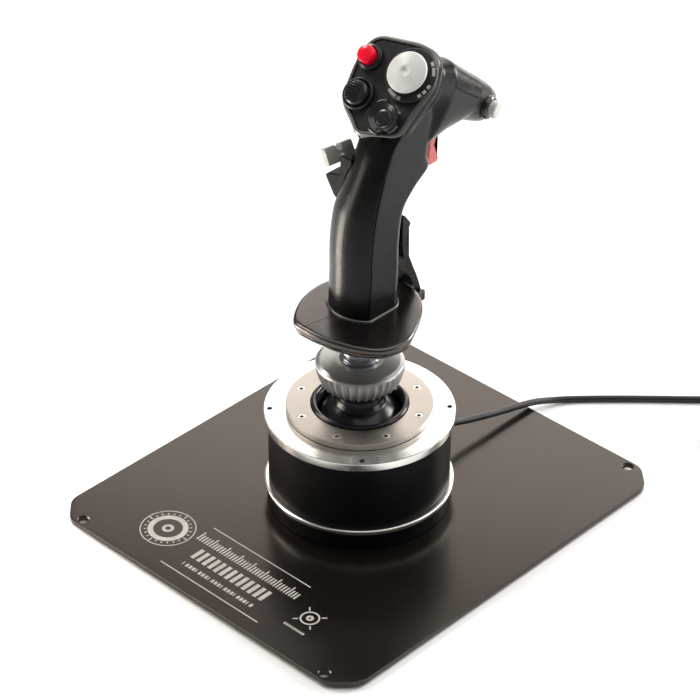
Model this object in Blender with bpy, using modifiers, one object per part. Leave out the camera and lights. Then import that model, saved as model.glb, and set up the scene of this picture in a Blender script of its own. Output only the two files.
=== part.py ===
"""Flight joystick: a contoured grip on a two-axis sprung gimbal in a round housing on a weighted plate.

Metres, +Z up. The origin is on the surface that the rubber pads stand on, under the gimbal.
+X is the pilot's right and +Y is forward, the way the stick is pushed.
"""
import math

import bmesh
import bpy
from mathutils import Matrix, Vector

MM = 0.001
GAP = 0.3                                   # between touching parts, in millimetres as all below

# base plate and pads
PLATE_X, PLATE_Y, PLATE_T, PLATE_CORNER = 228.0, 262.4, 3.0, 13.0
PLATE_Z = 1.5                               # underside of the plate
PLATE_TOP = PLATE_Z + PLATE_T
PLATE_HOLE = (94.7, 126.1, 3.0)             # x, y and radius
PAD_AT, PAD_R = (96.0, 106.0), 9.0

# housing, bottom to top
FOOT_R, FOOT_TOP = 52.5, 15.0
TRIM_R, TRIM_TOP = 53.9, 18.2
SHELL_R, SHELL_WALL, SHELL_TOP = 51.5, 3.0, 59.0
FLANGE_R, FLANGE_BORE, FLANGE_TOP = 53.8, 30.0, 64.3
DISC_R, DISC_BORE, DISC_TOP = 41.4, 27.6, 68.3
DISC_SCREW_RING, DISC_SCREWS = 35.2, 8
FLANGE_HOLE_RING, FLANGE_HOLES = 50.4, 4

# gimbal
PIVOT = Vector((0.0, 0.0, 43.5))
RING_IN, RING_OUT, RING_H = 12.5, 17.0, 8.0
PIN_R = 2.3
YOKE_X, YOKE_T, YOKE_W, YOKE_TOP = 19.0, 5.5, 14.0, 50.5
DOME_R, DOME_WALL = 30.0, 1.4

# stick
COUPLING_R, NECK_R = 11.0, 10.0
LOCK_R, LOCK_TOP, LOCK_H = 25.1, 98.9, 15.6
REST_Z, REST_TOP = 120.5, 128.5
GRIP_Z = REST_TOP + GAP
GRIP_SPLIT = -4.4                           # x of the seam between the grip's halves

# grip column: height, middle in x, y of the rear crease, half width, flat side, chamfer, rear bulge
COLUMN = (
    (GRIP_Z, -5.0, -4.3, 15.5, 22.0, 6.0, 6.5),
    (151.5, -5.3, -2.8, 15.8, 21.5, 5.5, 7.5),
    (169.5, -5.4, -2.3, 15.9, 21.3, 5.5, 7.5),
    (188.5, -5.0, 0.0, 15.5, 22.5, 5.0, 7.0),
    (199.5, -3.6, 2.6, 14.2, 29.5, 5.0, 6.5),
    (206.5, -2.6, 4.6, 13.2, 37.0, 4.0, 6.0),
    (213.5, -2.0, 7.0, 12.8, 33.0, 5.0, 5.5),
    (223.5, -1.8, 11.0, 12.5, 30.5, 8.0, 4.5),
    (231.0, -1.6, 15.0, 12.3, 28.0, 8.0, 2.6),
    (241.0, -1.5, 27.0, 12.2, 16.0, 8.0, 1.0),
)

# head: the face plane's anchor, its yaw and its pitch, then its outline in that plane
FACE_AT = Vector((10.5, 15.7, 232.9))
FACE_YAW, FACE_PITCH = math.radians(8.0), math.radians(43.5)
FACE_OUTLINE = (
    (0.0, 1.7), (7.7, 35.2), (3.5, 48.3), (-1.5, 53.0), (-11.2, 54.8), (-37.6, 52.0),
    (-43.4, 42.5), (-44.0, 28.0), (-42.7, 13.3), (-39.7, 9.0), (-30.5, 1.5), (-25.5, -3.6),
    (-11.6, -1.3),
)
FACE_MIDDLE = (-17.0, 24.0)
FACE_RIM = 2.6
# nose sections: middle x, y and z, half width and half height
NOSE = (
    (-3.0, 51.7, 236.0, 15.8, 27.7),
    (-2.5, 65.4, 234.6, 14.6, 19.8),
    (-2.0, 80.0, 231.0, 13.3, 13.2),
    (-1.5, 90.0, 224.3, 11.8, 11.8),
    (-1.5, 96.0, 220.0, 10.0, 10.4),
    (-1.5, 99.5, 217.5, 6.5, 7.0),
)
NOSE_PITCH, NOSE_POWER = math.radians(38.0), 2.4
HEAD_POINTS = 26

# controls on the face: place in the face plane
TRIM_AT, RED_AT, RIBBED_AT, CASTLE_AT = (-7.8, 36.1), (-35.3, 38.3), (-32.7, 17.5), (-10.5, 9.3)
TRIM_RING_R, TRIM_HAT_R = 15.3, 11.6
RED_R, RED_TOP = 5.0, 8.2
RIBBED_RING_R, RIBBED_HAT_R = 9.2, 7.0
CASTLE_R = 10.3
HAT_PIVOT_DEEP, HAT_PIVOT_HIGH = -2.5, 1.0

# controls on the nose, the front and the left side
NOSE_BUTTON_AT = Vector((9.0, 90.5, 223.6))
NOSE_BUTTON_AXIS = Vector((0.965, 0.23, -0.115)).normalized()
NOSE_BUTTON_R, NOSE_COLLAR_R = 4.9, 7.0
TRIGGER_PIVOT = Vector((-3.0, 55.0, 226.0))
TRIGGER_W = 11.0
LEVER_PIVOT = Vector((-3.5, 43.5, 120.5))
LEVER_W = 13.0
SIDE_HAT_AT = Vector((-20.7, 12.0, 212.0))

# cable
CABLE_R = 2.0
GLAND_AT = Vector((4.0, 52.9, 23.0))
GLAND_AXIS = Vector((0.07, 0.975, -0.21)).normalized()
GLAND_LONG = 12.0
COIL_AT = Vector((134.0, 216.0, 0.2))
COIL_MEAN, COIL_HALF_WIDTH, COIL_HIGH = 23.5, 6.2, 16.4     # three turns wide, four layers high
PLUG_AT = Vector((165.7, 196.5, 4.2))                       # where the cable enters the plug
PLUG_BODY, PLUG_SHELL = (15.0, 30.0, 8.0), (12.0, 12.0, 4.5)

COLOURS = {
    "plate": ((0.035, 0.032, 0.031), 0.45, 0.7), "rubber": ((0.02, 0.02, 0.02), 0.8, 0.0),
    "gloss_black": ((0.012, 0.012, 0.013), 0.18, 0.0), "aluminium": ((0.72, 0.71, 0.69), 0.35, 1.0),
    "warm_silver": ((0.62, 0.57, 0.53), 0.35, 1.0), "steel": ((0.45, 0.45, 0.46), 0.3, 1.0),
    "ring_grey": ((0.22, 0.22, 0.21), 0.5, 0.6), "grip_black": ((0.015, 0.015, 0.015), 0.3, 0.1),
    "face_charcoal": ((0.03, 0.03, 0.033), 0.55, 0.0), "light_grey": ((0.55, 0.56, 0.54), 0.45, 0.0),
    "mid_grey": ((0.2, 0.2, 0.19), 0.5, 0.0), "red": ((0.8, 0.01, 0.03), 0.3, 0.0),
    "trigger_red": ((0.75, 0.12, 0.1), 0.35, 0.0), "board_green": ((0.02, 0.12, 0.05), 0.5, 0.0),
    "pom_white": ((0.75, 0.75, 0.72), 0.45, 0.0), "dark_metal": ((0.08, 0.08, 0.08), 0.4, 0.9),
}


def clear_scene():
    for found in list(bpy.data.objects):
        bpy.data.objects.remove(found)


def make_collection(name):
    made = bpy.data.collections.new(name)
    bpy.context.scene.collection.children.link(made)
    return made


def make_material(name):
    colour, rough, metal = COLOURS[name]
    made = bpy.data.materials.new(name)
    made.use_nodes = True
    shader = made.node_tree.nodes["Principled BSDF"]
    shader.inputs["Base Color"].default_value = (*colour, 1.0)
    shader.inputs["Roughness"].default_value = rough
    shader.inputs["Metallic"].default_value = metal
    return made


clear_scene()
PARTS = make_collection("flight_joystick")
CUTTERS = make_collection("cutters")
MATERIALS = {name: make_material(name) for name in COLOURS}
JOINTS = {}


# ---------------------------------------------------------------- building blocks

def frame_along(direction, at):
    """A frame at a point in millimetres whose +Z runs along a direction."""
    turn = Vector(direction).normalized().to_track_quat("Z", "Y").to_matrix().to_4x4()
    return Matrix.Translation(Vector(at) * MM) @ turn


def upright(at=(0, 0, 0)):
    return Matrix.Translation(Vector(at) * MM)


def joint_empty(name, at, parent=None):
    """The parent of a moving body's pieces, on its joint's axis."""
    made = bpy.data.objects.new(name, None)
    made.empty_display_size = 0.01
    PARTS.objects.link(made)
    JOINTS[name] = made
    if parent:
        made.parent = JOINTS[parent]
    bpy.context.view_layer.update()
    made.matrix_world = upright(at)
    bpy.context.view_layer.update()
    return made


def add_part(name, mesh, colour, place=None, parent=None):
    made = bpy.data.objects.new(name, mesh)
    PARTS.objects.link(made)
    mesh.materials.append(MATERIALS[colour])
    if parent:
        made.parent = JOINTS[parent]
    made.matrix_world = place or Matrix.Identity(4)
    return made


def add_cutter(name, mesh, place=None):
    made = bpy.data.objects.new(name, mesh)
    CUTTERS.objects.link(made)
    made.matrix_world = place or Matrix.Identity(4)
    made.hide_render = True
    made.display_type = "WIRE"
    return made


def combine(target, other, operation="DIFFERENCE"):
    change = target.modifiers.new(other.name, "BOOLEAN")
    change.operation = operation
    change.object = other
    change.solver = "EXACT"
    return target


def mesh_from(build, name):
    shape = bmesh.new()
    build(shape)
    bmesh.ops.recalc_face_normals(shape, faces=shape.faces)
    mesh = bpy.data.meshes.new(name)
    shape.to_mesh(mesh)
    shape.free()
    mesh.shade_smooth()
    mesh.set_sharp_from_angle(angle=math.radians(35))
    return mesh


def cylinder_mesh(name, radius, bottom, top, sides=24):
    """A cylinder along its own +Z between two heights."""
    def build(shape):
        at = Matrix.Translation((0, 0, (bottom + top) / 2 * MM))
        bmesh.ops.create_cone(shape, cap_ends=True, segments=sides, radius1=radius * MM,
                              radius2=radius * MM, depth=(top - bottom) * MM, matrix=at)
    return mesh_from(build, name)


def box_mesh(name, low, high):
    def build(shape):
        low_corner, high_corner = Vector(low) * MM, Vector(high) * MM
        size = high_corner - low_corner
        at = Matrix.Translation((low_corner + high_corner) / 2) @ Matrix.Diagonal((*size, 1.0))
        bmesh.ops.create_cube(shape, size=1.0, matrix=at)
    return mesh_from(build, name)


def turned_mesh(name, profile):
    """The open or closed outline of a turned part, as edges in the XZ plane."""
    mesh = bpy.data.meshes.new(name)
    points = [(r * MM, 0.0, z * MM) for r, z in profile]
    edges = [(i, i + 1) for i in range(len(points) - 1)]
    if profile[0][0] > 0:
        edges.append((len(points) - 1, 0))
    mesh.from_pydata(points, edges, [])
    return mesh


def turn(target, steps=36):
    screw = target.modifiers.new("turned", "SCREW")
    screw.angle = math.tau
    screw.steps = steps
    screw.render_steps = steps
    screw.use_merge_vertices = True
    screw.merge_threshold = 0.00001
    screw.use_smooth_shade = True
    return target


def turned_part(name, profile, colour, place=None, parent=None, steps=36):
    return turn(add_part(name, turned_mesh(name, profile), colour, place, parent), steps)


def loft_mesh(name, rings):
    """A closed skin over rings with equal numbers of points, capped at both ends."""
    def build(shape):
        rows = [[shape.verts.new(Vector(p) * MM) for p in ring] for ring in rings]
        for low, high in zip(rows, rows[1:]):
            for i in range(len(low)):
                j = (i + 1) % len(low)
                shape.faces.new((low[i], low[j], high[j], high[i]))
        shape.faces.new(rows[0])
        shape.faces.new(rows[-1])
        bmesh.ops.triangulate(shape, faces=shape.faces)
    return mesh_from(build, name)


def extruded_mesh(name, outline, low, high, axes="XY"):
    """A flat outline made thick, as a 2D curve turned into a welded mesh."""
    curve = bpy.data.curves.new(name, "CURVE")
    curve.dimensions = "2D"
    curve.fill_mode = "BOTH"
    curve.extrude = (high - low) / 2 * MM
    line = curve.splines.new("POLY")
    line.points.add(len(outline) - 1)
    for point, (a, b) in zip(line.points, outline):
        point.co = (a * MM, b * MM, 0, 1)
    line.use_cyclic_u = True
    holder = bpy.data.objects.new(name, curve)
    CUTTERS.objects.link(holder)
    solid = bpy.data.meshes.new_from_object(holder.evaluated_get(bpy.context.evaluated_depsgraph_get()))
    bpy.data.objects.remove(holder)

    def build(shape):
        shape.from_mesh(solid)
        bmesh.ops.remove_doubles(shape, verts=shape.verts, dist=0.000001)
        lift = Matrix.Translation((0, 0, (low + high) / 2 * MM))
        # "YZ" stands the outline up in the plane across X
        stand = Matrix(((0, 0, 1, 0), (1, 0, 0, 0), (0, 1, 0, 0), (0, 0, 0, 1)))
        bmesh.ops.transform(shape, matrix=(stand if axes == "YZ" else Matrix.Identity(4)) @ lift,
                            verts=shape.verts)
    return mesh_from(build, name + "_solid")


def tube_part(name, points, radius, colour, parent=None, sides=2):
    curve = bpy.data.curves.new(name, "CURVE")
    curve.dimensions = "3D"
    curve.bevel_depth = radius * MM
    curve.bevel_resolution = sides
    curve.use_fill_caps = True
    line = curve.splines.new("POLY")
    line.points.add(len(points) - 1)
    for point, at in zip(line.points, points):
        point.co = (*(Vector(at) * MM), 1)
    return add_part(name, curve, colour, None, parent)


def smooth_through(points, per_span, closed=False):
    """Points of a Catmull-Rom curve through a route's own points."""
    route = [Vector(p) for p in points]
    count = len(route)
    spans = count if closed else count - 1
    if not closed:
        route = [route[0] * 2 - route[1], *route, route[-1] * 2 - route[-2]]
    made = []
    for k in range(spans):
        a, b, c, d = [route[(k + i + (-1 if closed else 0)) % len(route)] for i in range(4)]
        for step in range(per_span):
            t = step / per_span
            made.append(0.5 * (2 * b + (c - a) * t + (2 * a - 5 * b + 4 * c - d) * t * t
                               + (3 * b - 3 * c + d - a) * t ** 3))
    if not closed:
        made.append(Vector(points[-1]))
    return made


# ---------------------------------------------------------------- base

def make_plate():
    x, y, corner = PLATE_X / 2, PLATE_Y / 2, PLATE_CORNER
    outline = [(-x + corner, -y), (x - corner, -y), (x, -y + corner), (x, y - corner),
               (x - corner, y), (-x + corner, y), (-x, y - corner), (-x, -y + corner)]
    plate = add_part("base_plate", extruded_mesh("base_plate", outline, PLATE_Z, PLATE_TOP), "plate")
    hole_x, hole_y, hole_r = PLATE_HOLE
    hole = cylinder_mesh("plate_hole", hole_r, -1, 10, 16)
    for i, (sx, sy) in enumerate(((-1, -1), (1, -1), (1, 1), (-1, 1)), 1):
        at = upright((sx * hole_x, sy * hole_y, 0))
        combine(plate, add_cutter(f"plate_hole_{i}", hole.copy(), at))
        pad = cylinder_mesh(f"foot_pad_{i}", PAD_R, 0, PLATE_Z - GAP, 20)
        add_part(f"foot_pad_{i}", pad, "rubber", upright((sx * PAD_AT[0], sy * PAD_AT[1], 0)))


def make_housing():
    foot = PLATE_TOP + GAP
    inner = FOOT_R - 3.5
    turned_part("base_foot", [(0, foot + 3.2), (inner, foot + 3.2), (inner, FOOT_TOP), (FOOT_R, FOOT_TOP),
                              (FOOT_R, foot), (0, foot)], "gloss_black")
    low = FOOT_TOP + GAP
    turned_part("lower_trim_ring", [(inner, TRIM_TOP), (TRIM_R - 0.5, TRIM_TOP), (TRIM_R, TRIM_TOP - 0.5),
                                    (TRIM_R, low + 0.5), (TRIM_R - 0.5, low), (inner, low)], "aluminium")
    inner = SHELL_R - SHELL_WALL
    low = TRIM_TOP + GAP
    shell = turned_part("housing_shell", [(inner, SHELL_TOP), (SHELL_R, SHELL_TOP), (SHELL_R, low),
                                          (inner, low)], "gloss_black")
    hole = cylinder_mesh("gland_hole", 3.3, -12, 12, 14)
    combine(shell, add_cutter("gland_hole", hole, frame_along(GLAND_AXIS, GLAND_AT)))


def make_top():
    low = SHELL_TOP + GAP
    flange = turned_part("top_flange", [(FLANGE_BORE, FLANGE_TOP), (FLANGE_R - 0.6, FLANGE_TOP),
                                        (FLANGE_R, FLANGE_TOP - 0.6), (FLANGE_R, low), (FLANGE_BORE, low)],
                         "aluminium", steps=40)
    low = FLANGE_TOP + GAP
    disc = turned_part("top_disc", [(DISC_BORE, DISC_TOP), (DISC_R - 0.5, DISC_TOP),
                                    (DISC_R, DISC_TOP - 0.5), (DISC_R, low), (DISC_BORE, low)],
                       "warm_silver", steps=36)
    head_r, head_t, shank_r, shank_end = 2.4, 1.6, 1.2, FLANGE_TOP - 1.6
    head_top = DISC_TOP - 0.1
    screw = [(0, head_top), (head_r, head_top), (head_r, head_top - head_t), (shank_r, head_top - head_t),
             (shank_r, shank_end), (0, shank_end)]
    pocket = [(0, DISC_TOP + 2), (head_r + GAP, DISC_TOP + 2), (head_r + GAP, head_top - head_t - GAP),
              (shank_r + GAP, head_top - head_t - GAP), (shank_r + GAP, shank_end - GAP),
              (0, shank_end - GAP)]
    for i in range(DISC_SCREWS):
        angle = math.tau * (i + 0.5) / DISC_SCREWS
        at = upright((DISC_SCREW_RING * math.cos(angle), DISC_SCREW_RING * math.sin(angle), 0))
        turned_part(f"disc_screw_{i + 1}", screw, "dark_metal", at, steps=8)
        pit = turn(add_cutter(f"screw_pocket_{i + 1}", turned_mesh("pocket", pocket), at), 8)
        combine(disc, pit)
        combine(flange, pit)
    for i in range(FLANGE_HOLES):
        angle = math.tau * (i + 0.5) / FLANGE_HOLES
        at = upright((FLANGE_HOLE_RING * math.cos(angle), FLANGE_HOLE_RING * math.sin(angle), 0))
        drill = cylinder_mesh("flange_hole", 1.3, FLANGE_TOP - 3, FLANGE_TOP + 2, 8)
        combine(flange, add_cutter(f"flange_hole_{i + 1}", drill, at))
    turned_part("opening_bezel", [(23.4, 66.5), (25.2, 69.4), (26.6, 69.8), (27.3, 69.0), (27.3, 64.2),
                                  (29.4, 64.2), (29.4, 60.2), (25.8, 60.2), (22.8, 64.4)],
                "gloss_black", steps=28)


def make_gimbal():
    floor = PLATE_TOP + GAP + 3.2 + GAP
    yoke = turned_part("gimbal_yoke", [(22, floor + 3), (34, floor + 3), (34, floor), (22, floor)],
                       "pom_white", steps=24)
    for side, name in ((-1, "left"), (1, "right")):
        near, far = sorted((side * YOKE_X, side * (YOKE_X + YOKE_T)))
        arm = box_mesh(f"yoke_arm_{name}", (near, -YOKE_W / 2, floor + 0.4), (far, YOKE_W / 2, YOKE_TOP))
        combine(yoke, add_cutter(f"yoke_arm_{name}", arm), "UNION")
    across = frame_along((1, 0, 0), PIVOT)
    forward = frame_along((0, 1, 0), PIVOT)
    bore = cylinder_mesh("pin_bore", PIN_R + GAP, -40, 40, 16)
    bore_x = add_cutter("bore_across", bore, across)
    bore_y = add_cutter("bore_forward", bore.copy(), forward)
    combine(yoke, bore_x)

    board = turned_part("controller_board", [(0, floor + 1.6), (18.4, floor + 1.6), (18.4, floor), (0, floor)],
                        "board_green", steps=24)
    chip = add_cutter("hall_chip", box_mesh("hall_chip", (-3.5, -3.5, floor + 1), (3.5, 3.5, floor + 2.9)))
    combine(board, chip, "UNION")

    joint_empty("stick_pitch", PIVOT)
    joint_empty("stick_roll", PIVOT, "stick_pitch")
    half = RING_H / 2
    ring = turned_part("gimbal_ring", [(RING_IN, half), (RING_OUT, half), (RING_OUT, -half),
                                       (RING_IN, -half)], "pom_white", upright(PIVOT), "stick_pitch", 20)
    combine(ring, bore_x)
    combine(ring, bore_y)
    end = YOKE_X + YOKE_T - 0.3
    for side, name in ((-1, "left"), (1, "right")):
        near, far = sorted((side * (RING_IN + 0.4), side * end))
        pin = cylinder_mesh(f"pitch_pin_{name}", PIN_R, near, far, 16)
        add_part(f"pitch_pin_{name}", pin, "steel", across, "stick_pitch")
    pin = cylinder_mesh("roll_pin", PIN_R, -RING_OUT + 0.6, RING_OUT - 0.6, 16)
    add_part("roll_pin", pin, "steel", forward, "stick_roll")
    return bore_y


def make_shaft(bore_y):
    shaft = turned_part("stick_shaft", [(0, 94), (5, 94), (5, 52), (6, 51), (6, 36.5), (8.6, 36.5), (8.6, 34.8),
                                        (4, 34.8), (4, 20.2), (8.8, 20.2), (8.8, 18.6), (4, 18.6),
                                        (4, 15.5), (0, 15.5)], "steel", None, "stick_roll", 16)
    combine(shaft, bore_y)
    add_part("sensor_magnet", cylinder_mesh("sensor_magnet", 3, 12.6, 15.2, 20), "steel", None, "stick_roll")
    turns, per_turn, low, high, mean, wire = 5, 10, 21.4, 33.6, 6.7, 0.8
    steps = turns * per_turn
    helix = [(mean * math.cos(math.tau * i / per_turn), mean * math.sin(math.tau * i / per_turn),
              low + (high - low) * i / steps) for i in range(steps + 1)]
    tube_part("return_spring", helix, wire, "steel", "stick_roll", 1)

    first, last, steps = math.radians(11), math.radians(70), 5
    arc = [first + (last - first) * i / steps for i in range(steps + 1)]
    inner = DOME_R - DOME_WALL
    outside = [(DOME_R * math.sin(a), PIVOT.z + DOME_R * math.cos(a)) for a in arc]
    inside = [(inner * math.sin(a), PIVOT.z + inner * math.cos(a)) for a in reversed(arc)]
    turned_part("dust_dome", outside + inside, "gloss_black", None, "stick_roll", 28)

    turned_part("stick_coupling", [(0, 120.2), (NECK_R, 120.2), (NECK_R, 99.8), (COUPLING_R, 99.4),
                                   (COUPLING_R, 79), (12, 75), (13, 71.3), (5.4, 73.8), (5.4, 94.5),
                                   (0, 94.5)], "steel", None, "stick_roll", 24)
    low = LOCK_TOP - LOCK_H
    joint_empty("lock_turn", (0, 0, LOCK_TOP), "stick_roll")
    bore = COUPLING_R + 0.4
    turned_part("lock_ring", [(bore, LOCK_TOP), (LOCK_R - 1.6, LOCK_TOP), (LOCK_R, LOCK_TOP - 1.4),
                              (LOCK_R, LOCK_TOP - 3.4), (LOCK_R - 1.4, LOCK_TOP - 10), (LOCK_R - 3.4, low),
                              (LOCK_R - 6.5, low), (LOCK_R - 6.5, low + 9.2), (bore, low + 9.2)],
                "ring_grey", None, "lock_turn", 32)


# ---------------------------------------------------------------- grip

def rest_ring(height, inset):
    """The hand rest's rounded outline at one height, pulled in by an inset."""
    half = [(0, 38.8), (11, 35.8), (21.5, 27), (31.5, 11.7), (37.6, -2.3), (35.4, -16.7), (25, -25.8),
            (8.5, -31.9)]
    left = [(-9, -33.4), (-21.5, -30.6), (-33.6, -11.6), (-36, 9.3), (-28, 25), (-14, 35.6)]
    made = []
    for point in smooth_through([(*p, 0) for p in half + left], 3, closed=True):
        shrink = 1 - inset / point.length
        made.append((point.x * shrink, point.y * shrink, height))
    return made


def make_hand_rest():
    step = REST_Z + 3.8
    levels = [(REST_Z, 3.4), (REST_Z + 1, 1.4), (step, 1.2), (step + 0.6, 0), (REST_TOP - 1.2, 0),
              (REST_TOP, 1.6)]
    rings = [rest_ring(height, inset) for height, inset in levels]
    rest = add_part("hand_rest", loft_mesh("hand_rest", rings), "gloss_black", None, "stick_roll")
    lug_low, lug_high = LEVER_PIVOT.z - 3.2, LEVER_PIVOT.z + 3.4
    for side in (-1, 1):
        near, far = sorted(LEVER_PIVOT.x + side * (LEVER_W / 2 + out) for out in (0.4, 3))
        lug = box_mesh("lug", (near, 30, lug_low), (far, LEVER_PIVOT.y + 3, lug_high))
        combine(rest, add_cutter(f"lever_lug_{side + 2}", lug), "UNION")
    bore = cylinder_mesh("lever_bore", 1.4, -12, 12, 12)
    combine(rest, add_cutter("lever_bore", bore, frame_along((1, 0, 0), LEVER_PIVOT)))


def column_ring(level, grow=0.0):
    """One section of the grip: flat sides, chamfered front corners and a bulged rear."""
    height, mid, crease, half, flat, chamfer, bulge = level
    half = half + grow
    crease, front = crease - grow * 0.4, crease + flat + grow * 0.4
    ring = [(mid + half, crease), (mid + half, front), (mid + half - chamfer, front + chamfer + grow * 0.6),
            (mid - half + chamfer, front + chamfer + grow * 0.6), (mid - half, front), (mid - half, crease)]
    arc_points = 8
    for i in range(1, arc_points):
        t = i / arc_points
        ring.append((mid - half + 2 * half * t, crease - (bulge + grow * 0.6) * math.sin(math.pi * t) ** 0.8))
    return [(x, y, height) for x, y in ring]


def face_axes():
    normal = Vector((math.sin(FACE_YAW) * math.cos(FACE_PITCH), -math.cos(FACE_YAW) * math.cos(FACE_PITCH),
                     math.sin(FACE_PITCH)))
    across = Vector((math.cos(FACE_YAW), math.sin(FACE_YAW), 0))
    return across, normal.cross(across), normal


def face_point(u, v, out=0.0):
    across, up, normal = face_axes()
    return FACE_AT + across * u + up * v + normal * out


def face_frame(u, v, out=0.0):
    """A frame on the face whose +X runs across it, +Y up it and +Z out of it."""
    across, up, normal = face_axes()
    turn_to = Matrix((across, up, normal)).transposed().to_4x4()
    return Matrix.Translation(face_point(u, v, out) * MM) @ turn_to


def reach(outline, middle, angle):
    """Distance from a middle point to a polygon in one direction."""
    direction = Vector((math.cos(angle), math.sin(angle)))
    far = 0.0
    for a, b in zip(outline, outline[1:] + outline[:1]):
        start, edge = Vector(a) - Vector(middle), Vector(b) - Vector(a)
        bottom = direction.x * edge.y - direction.y * edge.x
        if abs(bottom) > 1e-9:
            along = (start.x * edge.y - start.y * edge.x) / bottom
            on_edge = (start.x * direction.y - start.y * direction.x) / bottom
            if -1e-9 <= on_edge <= 1 + 1e-9:
                far = max(far, along)
    return far


def face_ring(deep, inset, scale=1.0):
    """The face outline as a ring of points by angle, sunk into the head by a depth."""
    made = []
    for i in range(HEAD_POINTS):
        angle = math.tau * i / HEAD_POINTS
        far = (reach(list(FACE_OUTLINE), FACE_MIDDLE, angle) - inset) * scale
        made.append(tuple(face_point(FACE_MIDDLE[0] + far * math.cos(angle),
                                     FACE_MIDDLE[1] + far * math.sin(angle), -deep)))
    return made


def nose_ring(section, inset):
    mid_x, mid_y, mid_z, half_w, half_h = section
    up = Vector((0, math.sin(NOSE_PITCH), math.cos(NOSE_PITCH)))
    made = []
    for i in range(HEAD_POINTS):
        angle = math.tau * i / HEAD_POINTS
        across, rise = math.cos(angle), math.sin(angle)
        across = math.copysign(abs(across) ** (2 / NOSE_POWER), across) * (half_w - inset)
        rise = math.copysign(abs(rise) ** (2 / NOSE_POWER), rise) * (half_h - inset)
        made.append(tuple(Vector((mid_x + across, mid_y, mid_z)) + up * rise))
    return made


def make_grip():
    """Two thin shells that meet on the seam, with one cavity through column and head."""
    wall = 2.6
    column = loft_mesh("column", [column_ring(level) for level in COLUMN])
    head = loft_mesh("head", [face_ring(0, 0), face_ring(5, -0.6), face_ring(14, 1.5, 0.94)]
                     + [nose_ring(section, 0) for section in NOSE])
    lifted = [(GRIP_Z + 3.0, *COLUMN[0][1:]), *COLUMN[1:-1], (COLUMN[-1][0] + 3.0, *COLUMN[-1][1:])]
    hollow_column = loft_mesh("hollow_column", [column_ring(level, -wall) for level in lifted])
    hollow_head = loft_mesh("hollow_head", [face_ring(-1, 5.2), face_ring(5, 4.6), face_ring(14, 4.6, 0.94)]
                            + [nose_ring(section, wall) for section in NOSE[:-2]])
    recess = loft_mesh("face_recess", [face_ring(-2, FACE_RIM), face_ring(2.6, FACE_RIM)])
    cutters = [add_cutter("hollow_column", hollow_column), add_cutter("hollow_head", hollow_head),
               add_cutter("face_recess", recess)]
    button = frame_along(NOSE_BUTTON_AXIS, NOSE_BUTTON_AT)
    collar = cylinder_mesh("nose_bore", NOSE_COLLAR_R + GAP, -9, 12, 24)
    cutters.append(add_cutter("nose_bore", collar, button))
    half = TRIGGER_W / 2 + 0.5
    slot = box_mesh("trigger_slot", (TRIGGER_PIVOT.x - half, 44.0, 209.0),
                    (TRIGGER_PIVOT.x + half, 62.5, 232.0))
    cutters.append(add_cutter("trigger_slot", slot))
    head_guide = add_cutter("head_solid", head)
    for side, name in ((-1, "left"), (1, "right")):
        shell = add_part(f"grip_shell_{name}", column.copy(), "grip_black", None, "stick_roll")
        combine(shell, head_guide, "UNION")
        for cutter in cutters:
            combine(shell, cutter)
        low, high = sorted((GRIP_SPLIT + side * GAP / 2, -side * 80))
        half_space = box_mesh(f"other_half_{name}", (low, -60, 100), (high, 140, 330))
        combine(shell, add_cutter(f"other_half_{name}", half_space))


def make_face():
    plate = loft_mesh("face_plate", [face_ring(GAP, FACE_RIM + GAP), face_ring(2.3, FACE_RIM + GAP)])
    face = add_part("face_plate", plate, "face_charcoal", None, "stick_roll")
    for name, at, radius in (("trim", TRIM_AT, 4.8), ("ribbed", RIBBED_AT, 4.8), ("castle", CASTLE_AT, 4.8),
                             ("red", RED_AT, RED_R + 0.4)):
        hole = cylinder_mesh(f"{name}_hole", radius, -8, 4, 14)
        combine(face, add_cutter(f"{name}_hole", hole, face_frame(*at)))
    board = loft_mesh("switch_board", [face_ring(9.5, 8.5), face_ring(11.1, 8.5)])
    add_part("switch_board", board, "board_green", None, "stick_roll")


def add_hat(name, frame, pivot_out, parent, cap, colour, stem_top, steps=20):
    """A four-way hat: a pivot ring that tilts one way and a cap on a stem that tilts the other."""
    at = frame @ Vector((0, 0, pivot_out * MM)) / MM
    joint_empty(f"{name}_tilt_a", at, parent)
    joint_empty(f"{name}_tilt_b", at, f"{name}_tilt_a")
    half = 0.8
    ring = [(2.6, pivot_out + half), (3.9, pivot_out + half), (3.9, pivot_out - half), (2.6, pivot_out - half)]
    turned_part(f"{name}_pivot", ring, "dark_metal", frame, f"{name}_tilt_a", 12)
    stem = [(1.5, stem_top), (1.5, pivot_out - 3), (0, pivot_out - 3)]
    return turned_part(name, cap + stem, colour, frame, f"{name}_tilt_b", steps)


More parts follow.
